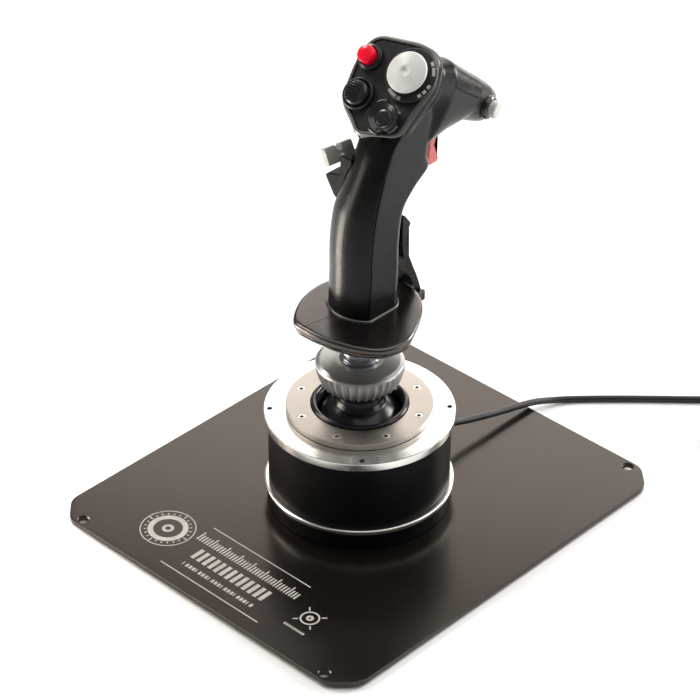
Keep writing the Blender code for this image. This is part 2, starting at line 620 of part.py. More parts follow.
def make_face_controls():
    trim, ribbed, castle, red = (face_frame(*at) for at in (TRIM_AT, RIBBED_AT, CASTLE_AT, RED_AT))
    turned_part("trim_hat_bezel", [(5.4, 1.6), (12.4, 2.2), (TRIM_RING_R - 0.6, 2.2), (TRIM_RING_R, 1.6),
                                   (TRIM_RING_R, GAP), (5.4, GAP)], "face_charcoal", trim, "stick_roll", 28)
    rim = TRIM_HAT_R
    add_hat("trim_hat", trim, HAT_PIVOT_DEEP, "stick_roll",
            [(0, 9.2), (1.8, 9.4), (rim - 0.8, 7.6), (rim, 6.9), (rim, 5.9), (rim - 0.6, 5.4), (3.5, 4.2)],
            "light_grey", 3.4, 24)
    turned_part("ribbed_hat_bezel", [(7.6, 2.6), (8.6, 2.8), (RIBBED_RING_R, 2.2), (RIBBED_RING_R, GAP),
                                     (7.6, GAP)], "gloss_black", ribbed, "stick_roll", 24)
    rim = RIBBED_HAT_R
    add_hat("ribbed_hat", ribbed, HAT_PIVOT_HIGH, "stick_roll",
            [(0, 6.0), (3, 5.7), (rim - 1.2, 4.6), (rim, 3.6), (rim, 2.9), (rim - 1, 2.7)],
            "gloss_black", 2.7, 20)
    rim = CASTLE_R
    cap = add_hat("castle_hat", castle, HAT_PIVOT_DEEP, "stick_roll",
                  [(0, 8.0), (5.5, 7.4), (rim - 1.6, 6.6), (rim, 5.0), (rim - 0.2, 3.8), (rim - 1.5, 3.4),
                   (4.0, 3.0)], "gloss_black", 2.4, 24)
    for i in range(4):
        angle = math.tau * (i + 0.5) / 4
        scallop = cylinder_mesh("scallop", 2.6, 3, 12, 12)
        at = castle @ upright((rim * 1.06 * math.cos(angle), rim * 1.06 * math.sin(angle), 0))
        combine(cap, add_cutter(f"scallop_{i + 1}", scallop, at))
    turned_part("red_button_bezel", [(RED_R + 0.4, 3.6), (6.0, 3.6), (6.2, 2.2), (7.2, 2.0), (7.2, GAP),
                                     (RED_R + 0.4, GAP)], "gloss_black", red, "stick_roll", 20)
    joint_empty("red_press", face_point(*RED_AT), "stick_roll")
    skirt, stem_r, stem_end = -0.3, 2.0, -5.5
    turned_part("red_button", [(0, RED_TOP), (RED_R - 0.8, RED_TOP), (RED_R, RED_TOP - 0.8), (RED_R, skirt),
                               (stem_r, skirt), (stem_r, stem_end), (0, stem_end)],
                "red", red, "red_press", 20)


def make_nose_button():
    frame = frame_along(NOSE_BUTTON_AXIS, NOSE_BUTTON_AT)
    bore = NOSE_BUTTON_R + 0.35
    turned_part("nose_button_collar", [(bore, 2.6), (NOSE_COLLAR_R - 0.7, 2.6), (NOSE_COLLAR_R, 1.8),
                                       (NOSE_COLLAR_R, -7.5), (bore, -7.5)], "steel", frame, "stick_roll", 20)
    joint_empty("nose_press", NOSE_BUTTON_AT, "stick_roll")
    turned_part("nose_button", [(0, 6.6), (NOSE_BUTTON_R - 0.7, 6.6), (NOSE_BUTTON_R, 5.9),
                                (NOSE_BUTTON_R, -5.5), (0, -5.5)], "light_grey", frame, "nose_press", 20)


def make_trigger():
    joint_empty("trigger_pull", TRIGGER_PIVOT, "stick_roll")
    y, z = TRIGGER_PIVOT.y, TRIGGER_PIVOT.z
    outline = [(y - 3, z + 2), (y + 2, z + 3), (y + 3.6, z - 2), (y + 1.6, z - 8), (y + 0.1, z - 13),
               (y + 0.7, z - 18), (y + 2.6, z - 22.5), (y + 3.5, z - 24.8), (y + 2.4, z - 26.0),
               (y - 4.0, z - 26.0), (y - 5.2, z - 24.6), (y - 4.8, z - 18), (y - 4.4, z - 8)]
    low, high = TRIGGER_PIVOT.x - TRIGGER_W / 2, TRIGGER_PIVOT.x + TRIGGER_W / 2
    mesh = extruded_mesh("trigger", outline, low, high, "YZ")
    add_part("trigger", mesh, "trigger_red", None, "trigger_pull")


def make_lever():
    joint_empty("lever_pull", LEVER_PIVOT, "stick_roll")
    y, z = LEVER_PIVOT.y, LEVER_PIVOT.z
    barrel = [(y + 3 * math.cos(math.radians(a)), z + 3 * math.sin(math.radians(a)))
              for a in (150, 180, 210, 240, 270, 300, 330, 0, 30)]
    paddle = [(y + 1.2, z + 6.4), (y - 1.5, z + 14), (y - 5.0, z + 22), (y - 8.6, z + 31), (y - 9.6, z + 40),
              (y - 9.4, z + 47), (y - 6.8, z + 50), (y - 12.0, z + 57), (y - 13.4, z + 56),
              (y - 13.4, z + 40), (y - 12.4, z + 30), (y - 8.6, z + 19), (y - 4.4, z + 10)]
    low, high = LEVER_PIVOT.x - LEVER_W / 2, LEVER_PIVOT.x + LEVER_W / 2
    lever = add_part("pinky_lever", extruded_mesh("pinky_lever", barrel + paddle, low, high, "YZ"),
                     "grip_black", None, "lever_pull")
    across = frame_along((1, 0, 0), LEVER_PIVOT)
    combine(lever, add_cutter("lever_pin_bore", cylinder_mesh("lever_pin_bore", 1.4, -20, 20, 12), across))
    end = LEVER_W / 2 + 2.8
    add_part("lever_pin", cylinder_mesh("lever_pin", 1.1, -end, end, 12), "steel", across, "stick_roll")


def make_side_hat():
    """A five-way hat on the left side: it tilts two ways and presses in."""
    x, y, z = SIDE_HAT_AT
    outline = [(x + 1.4, z + 5.5), (x + 0.6, z + 3.0), (x + 0.6, z - 7.0), (x - 7.0, z - 8.7),
               (x - 10.2, z - 10.4), (x - 9.6, z - 12.6), (x - 4.0, z - 21.6), (x + 0.5, z - 25),
               (x + 9, z - 25),
               (x + 9, z + 5.5)]
    # the outline is drawn across Y, so it is lofted between its two side faces
    sides = [[(px, py, pz) for px, pz in outline] for py in (y - 7.5, y + 7.5)]
    box = add_part("side_hat_box", loft_mesh("side_hat_box", sides), "gloss_black", None, "stick_roll")
    grown = loft_mesh("grown_column", [column_ring(level, GAP + 0.1) for level in COLUMN])
    combine(box, add_cutter("grown_column", grown))
    out = frame_along((-1, 0, 0), SIDE_HAT_AT)
    combine(box, add_cutter("plunger_bore", cylinder_mesh("plunger_bore", 3.9, -20, 4, 20), out))
    joint_empty("side_press", SIDE_HAT_AT, "stick_roll")
    plunger = cylinder_mesh("side_hat_plunger", 3.5, -4.3, -1.9, 20)
    add_part("side_hat_plunger", plunger, "dark_metal", out, "side_press")
    joint_empty("side_hat_tilt_a", SIDE_HAT_AT, "side_press")
    joint_empty("side_hat_tilt_b", SIDE_HAT_AT, "side_hat_tilt_a")
    turned_part("side_hat_pivot", [(2.4, 0.8), (3.6, 0.8), (3.6, -0.8), (2.4, -0.8)], "dark_metal", out,
                "side_hat_tilt_a", 12)
    lean = Matrix.Rotation(math.radians(-8), 4, "Z") @ Matrix.Rotation(math.radians(-25), 4, "Y")
    cap_at = upright((x - 7.6, y, z + 0.8)) @ lean
    cap = add_part("side_hat", box_mesh("side_hat", (-2.2, -9.3, -4.9), (2.2, 9.3, 4.9)), "mid_grey", cap_at,
                   "side_hat_tilt_b")
    stem = add_cutter("side_hat_stem", cylinder_mesh("side_hat_stem", 1.5, -1.5, 7.5, 16), out)
    combine(cap, stem, "UNION")
    notch = box_mesh("side_hat_notch", (x - 16, y - 1.6, z + 3.4), (x - 3, y + 1.6, z + 9))
    combine(cap, add_cutter("side_hat_notch", notch))


# ---------------------------------------------------------------- cable

def make_cable():
    frame = frame_along(GLAND_AXIS, GLAND_AT)
    turned_part("cable_gland", [(0, GLAND_LONG), (2.6, GLAND_LONG), (3.4, 2.2), (3.9, 2.0), (3.9, 0.2),
                                (3.0, 0.2), (3.0, -6), (0, -6)], "rubber", frame, None, 14)
    start = GLAND_AT + GLAND_AXIS * (GLAND_LONG + GAP)
    entry = Vector((0.73, 0.683, 0))
    outer_turn = COIL_MEAN + COIL_HALF_WIDTH - CABLE_R
    clear = COIL_MEAN + COIL_HALF_WIDTH + CABLE_R + GAP
    tangent = COIL_AT + Vector((-entry.y, entry.x, 0)) * outer_turn
    end = tangent - entry * math.sqrt(clear ** 2 - outer_turn ** 2)
    end.z = CABLE_R + 0.1
    route = [start, start + GLAND_AXIS * 6, (7.5, 84, 15.8), (10, 98, 13.2), (12, 112, 10.6), (14.0, 126, 8.4),
             (16.0, 137, 6.2), (19.5, 148, 3.4), (25, 157, 2.2), (36, 168.5, 2.1), (52, 184, 2.1),
             (74, 204.5, 2.1), end]
    tube_part("usb_cable", smooth_through(route, 4), CABLE_R, "rubber")
    low = COIL_AT.z
    inner, outer = COIL_MEAN - COIL_HALF_WIDTH, COIL_MEAN + COIL_HALF_WIDTH
    coil = [(inner + 1.5, low + COIL_HIGH), (outer - 1.5, low + COIL_HIGH), (outer, low + COIL_HIGH - 1.5),
            (outer, low), (inner, low), (inner, low + COIL_HIGH - 1.5)]
    turned_part("cable_coil", coil, "rubber", upright((COIL_AT.x, COIL_AT.y, 0)), None, 28)
    # the plug points to -Y, its metal shell ahead of its moulded body
    front = PLUG_AT.y
    for name, size, colour in (("usb_plug_body", PLUG_BODY, "rubber"), ("usb_plug_shell", PLUG_SHELL, "steel")):
        wide, long, high = size
        low = (PLUG_AT.x - wide / 2, front - long, PLUG_AT.z - high / 2)
        top = (PLUG_AT.x + wide / 2, front, PLUG_AT.z + high / 2)
        add_part(name, box_mesh(name, low, top), colour)
        front -= long + GAP


make_plate()
make_housing()
make_top()
make_shaft(make_gimbal())
make_hand_rest()
make_grip()
make_face()
make_face_controls()
make_nose_button()
make_trigger()
make_lever()
make_side_hat()
make_cable()
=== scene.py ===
"""The looks of the flight joystick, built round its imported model.

Shapes are worked out in millimetres and made in metres. +X is the pilot's right, +Y is forward and +Z is up.
"""
import math

import bmesh
import bpy
from mathutils import Matrix, Vector


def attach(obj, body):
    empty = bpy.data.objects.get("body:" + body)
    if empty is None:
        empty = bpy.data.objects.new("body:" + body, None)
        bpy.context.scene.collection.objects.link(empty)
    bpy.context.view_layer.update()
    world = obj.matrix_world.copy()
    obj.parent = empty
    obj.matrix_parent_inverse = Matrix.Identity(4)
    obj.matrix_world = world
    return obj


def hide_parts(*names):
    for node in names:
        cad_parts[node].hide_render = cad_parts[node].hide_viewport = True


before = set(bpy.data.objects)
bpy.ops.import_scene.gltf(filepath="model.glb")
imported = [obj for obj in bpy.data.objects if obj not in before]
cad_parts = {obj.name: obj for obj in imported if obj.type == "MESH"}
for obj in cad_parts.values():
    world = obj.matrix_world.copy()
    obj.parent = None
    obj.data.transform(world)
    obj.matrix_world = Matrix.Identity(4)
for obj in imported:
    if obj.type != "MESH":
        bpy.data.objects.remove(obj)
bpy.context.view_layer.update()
MM = 0.001


# ---------------------------------------------------------------- camera, floor and light

AZIMUTH, ELEVATION, ROLL = math.radians(43.58), math.radians(34.332), math.radians(0.243)
TARGET, DISTANCE, LENS = Vector((-0.00405, -0.00386, 0.10317)), 1.55968, 145.32
BACK = Vector((math.cos(ELEVATION) * math.sin(AZIMUTH), -math.cos(ELEVATION) * math.cos(AZIMUTH),
               math.sin(ELEVATION)))
ACROSS = Vector((math.cos(AZIMUTH), math.sin(AZIMUTH), 0))


def linked(name, data, place=None):
    """A new object in the scene, at the origin unless it gets a place."""
    made = bpy.data.objects.new(name, data)
    bpy.context.scene.collection.objects.link(made)
    if place is not None:
        made.matrix_world = place
    return made


def make_camera():
    up = BACK.cross(ACROSS)
    right = ACROSS * math.cos(ROLL) + up * math.sin(ROLL)
    top = up * math.cos(ROLL) - ACROSS * math.sin(ROLL)
    lens = bpy.data.cameras.new("camera")
    lens.lens = LENS
    lens.clip_start, lens.clip_end = 0.05, 30
    turn = Matrix((right, top, BACK)).transposed().to_4x4()
    bpy.context.scene.camera = linked("camera", lens, Matrix.Translation(TARGET + BACK * DISTANCE) @ turn)


def softbox(name, at, towards, size, watts, colour=(1, 1, 1)):
    light = bpy.data.lights.new(name, "AREA")
    light.shape = "RECTANGLE"
    light.size, light.size_y = size
    light.energy = watts
    light.color = colour
    made = linked(name, light)
    made.visible_camera = False
    made.location = at
    made.rotation_euler = (Vector(towards) - Vector(at)).to_track_quat("-Z", "Y").to_euler()


def make_studio():
    floor_mesh = bpy.data.meshes.new("floor")
    half = 4.0
    corners = [(-half, -half, 0), (half, -half, 0), (half, half, 0), (-half, half, 0)]
    floor_mesh.from_pydata(corners, [], [(0, 1, 2, 3)])
    paint = bpy.data.materials.new("floor_paint")
    paint.use_nodes = True
    shader = paint.node_tree.nodes["Principled BSDF"]
    shader.inputs["Base Color"].default_value = (0.93, 0.93, 0.925, 1)
    shader.inputs["Roughness"].default_value = 0.7
    shader.inputs["Specular IOR Level"].default_value = 0.1
    floor_mesh.materials.append(paint)
    floor = linked("floor", floor_mesh)

    world = bpy.data.worlds.new("studio")
    bpy.context.scene.world = world
    world.use_nodes = True
    sky = world.node_tree.nodes["Background"]
    sky.inputs["Color"].default_value = (1.0, 0.985, 0.965, 1)
    sky.inputs["Strength"].default_value = 0.2
    bpy.context.scene.view_settings.view_transform = "Standard"

    softbox("overhead", (0.25, 0.35, 1.8), (0.05, 0.1, 0), (1.8, 1.8), 18)
    # the plate, the hand rest and the nose mirror this one
    softbox("tall_back", (-0.77, 1.17, 0.52), (-0.1, 0.15, 0.22), (1.3, 1.12), 12, (1, 0.95, 0.9))
    softbox("front", (0.4, 1.3, 0.6), (0, 0.05, 0.22), (0.5, 0.6), 17, (1, 0.97, 0.94))
    softbox("key", (-0.9, -0.1, 1.2), (0, 0, 0.2), (0.3, 0.3), 7, (1, 0.98, 0.95))
    # these two are the long highlight down the grip's left side
    softbox("low_left", (-0.2, -0.165, 0.035), (0, 0, 0.2), (0.12, 0.24), 1.3, (1, 0.9, 0.8))
    softbox("rear_left", (-0.38, -0.46, 0.2), (0, 0, 0.2), (0.22, 0.34), 1.1, (1, 0.92, 0.84))
    softbox("right_fill", (1.1, 0.75, 0.45), (0, 0, 0.17), (0.6, 0.8), 5)


# ---------------------------------------------------------------- shapes

def upright(at=(0, 0, 0)):
    return Matrix.Translation(Vector(at) * MM)


def frame_along(direction, at):
    """A frame at a point in millimetres whose +Z runs along a direction."""
    turn = Vector(direction).normalized().to_track_quat("Z", "Y").to_matrix().to_4x4()
    return Matrix.Translation(Vector(at) * MM) @ turn


def polar(radius, angle):
    return radius * math.cos(angle), radius * math.sin(angle)


def eased_share(t):
    """A share from 0 to 1 that starts and ends gently."""
    return t * t * (3 - 2 * t)


def smoothed(mesh, sharp=35):
    mesh.shade_smooth()
    mesh.set_sharp_from_angle(angle=math.radians(sharp))
    return mesh


def mesh_from(name, build, sharp=35):
    shape = bmesh.new()
    build(shape)
    bmesh.ops.recalc_face_normals(shape, faces=shape.faces)
    mesh = bpy.data.meshes.new(name)
    shape.to_mesh(mesh)
    shape.free()
    return smoothed(mesh, sharp)


def eased(outline, radius, closed=True, points=3):
    """An outline with each corner rounded off."""
    count = len(outline)
    made = []
    for i, here in enumerate(outline):
        here = Vector(here)
        if not closed and i in (0, count - 1):
            made.append(here)
            continue
        before, after = Vector(outline[i - 1]) - here, Vector(outline[(i + 1) % count]) - here
        reach = min(radius, before.length * 0.45, after.length * 0.45)
        start, end = here + before.normalized() * reach, here + after.normalized() * reach
        for step in range(points + 1):
            t = step / points
            made.append(start * (1 - t) ** 2 + here * 2 * t * (1 - t) + end * t * t)
    return made


def lathe(name, profile, steps=112, ease=0.3, warp=None, sharp=35):
    """A turned solid. A profile that starts and ends on the axis closes itself. warp may move its points."""
    on_axis = profile[0][0] == 0
    outline = eased(profile, ease, not on_axis) if ease else [Vector(p) for p in profile]

    def build(shape):
        rings = []
        for r, z in outline:
            if r < 1e-6:
                rings.append([shape.verts.new((0, 0, z * MM))] * steps)
                continue
            ring = []
            for i in range(steps):
                point = Vector((*polar(r, math.tau * i / steps), z))
                ring.append(shape.verts.new((warp(point) if warp else point) * MM))
            rings.append(ring)
        pairs = list(zip(rings, rings[1:]))
        if not on_axis:
            pairs.append((rings[-1], rings[0]))
        for low, high in pairs:
            for i in range(steps):
                j = (i + 1) % steps
                # a ring on the axis is one point, so the corners there repeat
                corners = list(dict.fromkeys((low[i], low[j], high[j], high[i])))
                if len(corners) > 2:
                    shape.faces.new(corners)
    return mesh_from(name, build, sharp)


def loft(name, rings, sharp=35, closed=False, split_ends=True):
    """A skin over rings of points. A closed one joins its last ring to its first, another gets two ends."""
    def build(shape):
        rows = [[shape.verts.new(Vector(p) * MM) for p in ring] for ring in rings]
        for low, high in zip(rows, rows[1:] + rows[:1] if closed else rows[1:]):
            for i in range(len(low)):
                j = (i + 1) % len(low)
                shape.faces.new((low[i], low[j], high[j], high[i]))
        if not closed:
            ends = [shape.faces.new(rows[0]), shape.faces.new(rows[-1])]
            if split_ends:
                bmesh.ops.triangulate(shape, faces=ends)
    return mesh_from(name, build, sharp)


def prism(name, outline, low, high, axes="XY", ease=0.0, sharp=35):
    """A flat outline made thick along Z, or along X where the outline is drawn in YZ, with rounded edges."""
    place = {"XY": lambda a, b, h: (a, b, h), "YZ": lambda a, b, h: (h, a, b)}[axes]
    rings = []
    if ease:
        centre = sum((Vector(p) for p in outline), Vector((0, 0))) / len(outline)
        levels = [(low, ease), (low + ease * 0.3, ease * 0.3), (low + ease, 0), (high - ease, 0),
                  (high - ease * 0.3, ease * 0.3), (high, ease)]
    else:
        centre, levels = Vector((0, 0)), [(low, 0), (high, 0)]
    for height, inset in levels:
        ring = []
        for p in outline:
            away = Vector(p) - centre
            moved = Vector(p) - away.normalized() * inset if inset else Vector(p)
            ring.append(place(moved.x, moved.y, height))
        rings.append(ring)
    return loft(name, rings, sharp)


def smooth_through(points, per_span, closed=False):
    """Points of a Catmull-Rom curve through a route's own points."""
    route = [Vector(p) for p in points]
    spans = len(route) if closed else len(route) - 1
    if not closed:
        route = [route[0] * 2 - route[1], *route, route[-1] * 2 - route[-2]]
    made = []
    for k in range(spans):
        a, b, c, d = [route[(k + i + (-1 if closed else 0)) % len(route)] for i in range(4)]
        for step in range(per_span):
            t = step / per_span
            made.append(0.5 * (2 * b + (c - a) * t + (2 * a - 5 * b + 4 * c - d) * t * t
                               + (3 * b - 3 * c + d - a) * t ** 3))
    if not closed:
        made.append(Vector(points[-1]))
    return made


def rod(name, radius, low, high, sides=40):
    def build(shape):
        at = Matrix.Translation((0, 0, (low + high) / 2 * MM))
        bmesh.ops.create_cone(shape, cap_ends=True, segments=sides, radius1=radius * MM, radius2=radius * MM,
                              depth=(high - low) * MM, matrix=at)
    return mesh_from(name, build)


def block(name, low, high, ease=0.0):
    def build(shape):
        low_corner, high_corner = Vector(low) * MM, Vector(high) * MM
        size = high_corner - low_corner
        at = Matrix.Translation((low_corner + high_corner) / 2) @ Matrix.Diagonal((*size, 1.0))
        bmesh.ops.create_cube(shape, size=1.0, matrix=at)
        if ease:
            bmesh.ops.bevel(shape, geom=shape.edges[:], offset=ease * MM, segments=3, profile=0.5,
                            affect="EDGES")
    return mesh_from(name, build)


def tube(name, points, radius, closed=True, sides=10):
    """A round bead along a line, as a mesh."""
    line = [Vector(p) for p in points]
    count = len(line)
    rings = []
    for i, here in enumerate(line):
        before = line[i - 1] if closed or i else line[0]
        after = line[(i + 1) % count] if closed or i < count - 1 else line[-1]
        along = (after - before).normalized()
        side = (along.orthogonal() if abs(along.z) > 0.9 else along.cross(Vector((0, 0, 1)))).normalized()
        top = side.cross(along)
        turns = [math.tau * k / sides for k in range(sides)]
        rings.append([here + (side * math.cos(turn) + top * math.sin(turn)) * radius for turn in turns])
    return loft(name, rings, 60, closed, False)


def applied(holder, name, sharp=35):
    """The evaluated mesh of an object, in world space, without its modifiers. The object is removed."""
    bpy.context.view_layer.update()
    shown = holder.evaluated_get(bpy.context.evaluated_depsgraph_get())
    mesh = bpy.data.meshes.new_from_object(shown)
    mesh.transform(holder.matrix_world)
    mesh.name = name
    bpy.data.objects.remove(holder)
    return smoothed(mesh, sharp)


def carve(mesh, cutters, operation="DIFFERENCE", place=None, sharp=35, solver="EXACT"):
    """A mesh cut by, or joined with, other meshes. cutters holds (mesh, frame) pairs."""
    holder = linked(mesh.name, mesh, place)
    tools = []
    for cutter, at in cutters:
        tool = linked(cutter.name, cutter, at)
        tools.append(tool)
        change = holder.modifiers.new("carve", "BOOLEAN")
        change.operation = operation
        change.solver = solver
        change.object = tool
    made = applied(holder, mesh.name, sharp)
    for tool in tools:
        bpy.data.objects.remove(tool)
    return made


def joined(name, meshes):
    shape = bmesh.new()
    for mesh in meshes:
        shape.from_mesh(mesh)
    made = bpy.data.meshes.new(name)
    shape.to_mesh(made)
    shape.free()
    return smoothed(made)


def bevelled(mesh, name, width, angle=40):
    holder = linked(mesh.name, mesh)
    ease = holder.modifiers.new("ease", "BEVEL")
    ease.width = width * MM
    ease.segments = 3
    ease.angle_limit = math.radians(angle)
    return applied(holder, name, 40)


def piece(name, mesh, material, body, nodes=(), place=None):
    made = linked(name, mesh, place)
    mesh.materials.clear()
    mesh.materials.append(MATERIALS[material])
    # flats stay flat beside small rounded edges
    even = made.modifiers.new("even_shading", "WEIGHTED_NORMAL")
    even.keep_sharp = True
    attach(made, body)
    if nodes:
        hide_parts(*nodes)
    return made


def turned(name, profile, steps, ease, material, body, node, place=None, sharp=35):
    """A lathed piece that stands for one CAD node."""
    mesh = lathe(name, profile, steps, ease, sharp=sharp)
    piece(f"{name}_fine", mesh, material, body, [node], place)


# ---------------------------------------------------------------- materials

MATERIALS = {}
# the record's slot, colour, roughness, metal, shade, uneven gloss, and what else the finish has
FINISHES = {
    "plate": ("plate", (0.0045, 0.004, 0.0036), 0.22, 0, (160, 0.08), 0.008,
              dict(specular=0.6, grain=(0.35, 0.06), tint=(1, 0.84, 0.72))),
    "print": ("light_grey", (0.45, 0.42, 0.39), 0.5, 0, (9, 0.14), 0.06, dict(grain=(0.3, 0.1))),
    "pad": ("pad_rubber", (0.02, 0.02, 0.02), 0.8, 0, (6, 0.2), 0.08, dict(grain=(0.5, 0.5))),
    "drum": ("black_housing", (0.003, 0.003, 0.003), 0.36, 0, (30, 0.2), 0.03,
             dict(specular=0.12, grain=(6, 0.02))),
    "trim": ("aluminium", (0.8, 0.78, 0.73), 0.24, 1, (30, 0.04), 0.02, dict(rings=(0.3, 0.04))),
    "flange": ("aluminium", (0.88, 0.87, 0.84), 0.2, 1, (30, 0.02), 0.015, dict(rings=(0.22, 0.08))),
    "disc": ("warm_silver", (0.5, 0.455, 0.415), 0.36, 1, (24, 0.03), 0.02, dict(rings=(0.2, 0.1))),
    "screw": ("screw_steel", (0.78, 0.73, 0.68), 0.32, 0.95, (2, 0.15), 0.08, dict(grain=(0.4, 0.1))),
    # socket: near-black, painted shade for the discs set into the flange holes and the screws' hex sockets
    "socket": ("dark_metal", (0.012, 0.011, 0.01), 0.5, 0.3, (1, 0.2), 0.1, dict(grain=(0.3, 0.2))),
    "steel": ("steel", (0.36, 0.38, 0.42), 0.24, 1, (16, 0.06), 0.02, dict(rings=(0.3, 0.03))),
    "spring": ("spring_steel", (0.3, 0.3, 0.32), 0.32, 1, (4, 0.15), 0.07, dict(grain=(0.4, 0.08))),
    "lock_ring": ("ring_grey", (0.36, 0.36, 0.35), 0.32, 0.85, (20, 0.06), 0.02, dict(grain=(0.5, 0.03))),
    "lip": ("black_lip", (0.005, 0.0048, 0.0045), 0.18, 0, (8, 0.2), 0.06,
            dict(specular=0.4, grain=(1.2, 0.04))),
    "dome": ("dome_black", (0.004, 0.004, 0.004), 0.24, 0, (12, 0.2), 0.02,
             dict(specular=0.35, grain=(5, 0.02))),
    "rest": ("rest_black", (0.004, 0.0038, 0.0036), 0.24, 0, (20, 0.15), 0.02,
             dict(specular=0.9, grain=(0.4, 0.05), tint=(1, 0.9, 0.84))),
    "grip": ("grip_black", (0.004, 0.0039, 0.0037), 0.27, 0, (24, 0.1), 0.03,
             dict(specular=0.22, grain=(0.45, 0.05), wear=0.15, worn=(0.04, 0.039, 0.037))),
    # rim: a lighter, half-metal copy of the grip's black, a painted highlight for the beads round the face
    # and the grip's foot
    "rim": ("grip_black", (0.13, 0.127, 0.12), 0.3, 0.45, (20, 0.1), 0.02, dict(grain=(0.5, 0.03))),
    # box: a darker, duller copy of the grip's black, painted shade that keeps the side box black under the
    # overhead lamp
    "box": ("grip_black", (0.0022, 0.0022, 0.0022), 0.5, 0, (12, 0.1), 0.03,
            dict(specular=0.06, grain=(0.4, 0.04))),
    "face": ("face_charcoal", (0.018, 0.018, 0.0185), 0.42, 0, (9, 0.12), 0.08,
             dict(specular=0.35, grain=(0.3, 0.3))),
    "light_hat": ("light_grey", (0.7, 0.71, 0.68), 0.34, 0, (7, 0.06), 0.07, dict(grain=(0.3, 0.08))),
    # button: a darker copy of the light grey, painted shade that keeps the nose button from burning out under
    # the front and right lamps
    "button": ("light_grey", (0.5, 0.5, 0.48), 0.34, 0, (7, 0.06), 0.05, dict(grain=(0.3, 0.05))),
    "black_hat": ("hat_black", (0.016, 0.016, 0.0165), 0.24, 0, (8, 0.1), 0.02,
                  dict(specular=0.5, grain=(0.4, 0.02))),
    "grey_hat": ("mid_grey", (0.3, 0.3, 0.28), 0.4, 0, (5, 0.1), 0.08,
                 dict(grain=(0.3, 0.14), wear=0.6, worn=(0.45, 0.45, 0.43))),
    "red": ("red", (0.95, 0.003, 0.03), 0.24, 0, (4, 0.1), 0.05, dict(specular=0.4, grain=(0.8, 0.03))),
    "trigger": ("trigger_red", (0.66, 0.13, 0.115), 0.26, 0, (12, 0.05), 0.03,
                dict(grain=(0.6, 0.02), under=0.3)),
    "chrome": ("chrome", (0.09, 0.085, 0.08), 0.28, 1, (8, 0.08), 0.02, dict(rings=(0.3, 0.02))),
    "board": ("board_green", (0.02, 0.11, 0.05), 0.45, 0, (3, 0.2), 0.08, dict(grain=(1.0, 0.1))),
    "acetal": ("pom_white", (0.72, 0.72, 0.69), 0.42, 0, (10, 0.05), 0.06, dict(grain=(0.3, 0.08))),
    "dark_metal": ("dark_metal", (0.07, 0.07, 0.07), 0.4, 0.7, (3, 0.15), 0.08, dict(grain=(0.3, 0.12))),
    "cable": ("cable_black", (0.012, 0.012, 0.0125), 0.4, 0, (12, 0.15), 0.06,
              dict(specular=0.35, grain=(0.5, 0.12))),
    "plug": ("cable_black", (0.016, 0.016, 0.016), 0.46, 0, (6, 0.15), 0.07, dict(grain=(0.3, 0.25))),
    "plug_shell": ("plug_shell", (0.66, 0.66, 0.66), 0.24, 1, (4, 0.08), 0.06, dict(grain=(0.6, 0.05))),
}


def surface(name, colour, rough, metal, shade, uneven, specular=0.5, grain=(0, 0), rings=(0, 0), wear=0.0,
            worn=(0.3, 0.3, 0.3), tint=(1, 1, 1), under=0.0):
    """A Principled material with colour shading, uneven gloss, grain or turning marks, and worn edges.

    grain and rings are (size in millimetres, strength), and shade is (size in millimetres, amount).
    """
    made = bpy.data.materials.new(name)
    made.use_nodes = True
    tree = made.node_tree
    shader = tree.nodes["Principled BSDF"]
    shader.inputs["Metallic"].default_value = metal
    shader.inputs["Specular IOR Level"].default_value = specular
    shader.inputs["Specular Tint"].default_value = (*tint, 1)
    shader.inputs["Subsurface Weight"].default_value = under
    if under:
        shader.inputs["Subsurface Scale"].default_value = 0.004
        shader.inputs["Subsurface Radius"].default_value = (1.0, 0.25, 0.2)

    def node(kind, inputs, **settings):
        """A shader node whose inputs are numbers, colours or other nodes' outputs."""
        made_node = tree.nodes.new("ShaderNode" + kind)
        for key, value in settings.items():
            setattr(made_node, key, value)
        for key, value in inputs.items():
            if isinstance(value, bpy.types.NodeSocket):
                tree.links.new(value, made_node.inputs[key])
            else:
                made_node.inputs[key].default_value = value
        return made_node.outputs

    where = node("TexCoord", {})["Object"]

    def noise(size, detail=3):
        return node("TexNoise", {"Scale": 1000 / size, "Detail": detail, "Vector": where})["Fac"]

    def ranged(value, low, high, from_low=0.3, from_high=0.7):
        return node("MapRange", {"From Min": from_low, "From Max": from_high, "To Min": low, "To Max": high,
                                 "Value": value})["Result"]

    def mixed(share, first, second):
        return node("Mix", {"Factor": share, "A": first, "B": second}, data_type="RGBA")["Result"]

    size, amount = shade
    lighter = tuple(min(1.0, c * (1 + amount)) for c in colour)
    darker = tuple(c * (1 - amount) for c in colour)
    paint = mixed(ranged(noise(size), 0, 1), (*darker, 1), (*lighter, 1))
    gloss = ranged(noise(size * 0.31, 5), max(0.02, rough - uneven), min(1, rough + uneven))
    if wear:
        edge = node("NewGeometry", {})["Pointiness"]
        paint = mixed(ranged(edge, 0, wear, 0.53, 0.62), paint, (*worn, 1))
    tree.links.new(paint, shader.inputs["Base Color"])
    tree.links.new(gloss, shader.inputs["Roughness"])
    strength = rings[1] or grain[1]
    if rings[1]:
        split = node("SeparateXYZ", {"Vector": where})
        flat = node("CombineXYZ", {"X": split["X"], "Y": split["Y"]})["Vector"]
        away = node("VectorMath", {0: flat}, operation="LENGTH")["Value"]
        height = node("TexNoise", {"Scale": 1000 / rings[0], "W": away}, noise_dimensions="1D")["Fac"]
    else:
        height = noise(grain[0], 2)
    bump = node("Bump", {"Strength": strength, "Distance": 0.2 * MM, "Height": height})
    tree.links.new(bump["Normal"], shader.inputs["Normal"])
    MATERIALS[name] = made


def make_materials():
    for name, (_, *measures, others) in FINISHES.items():
        surface(name, *measures, **others)


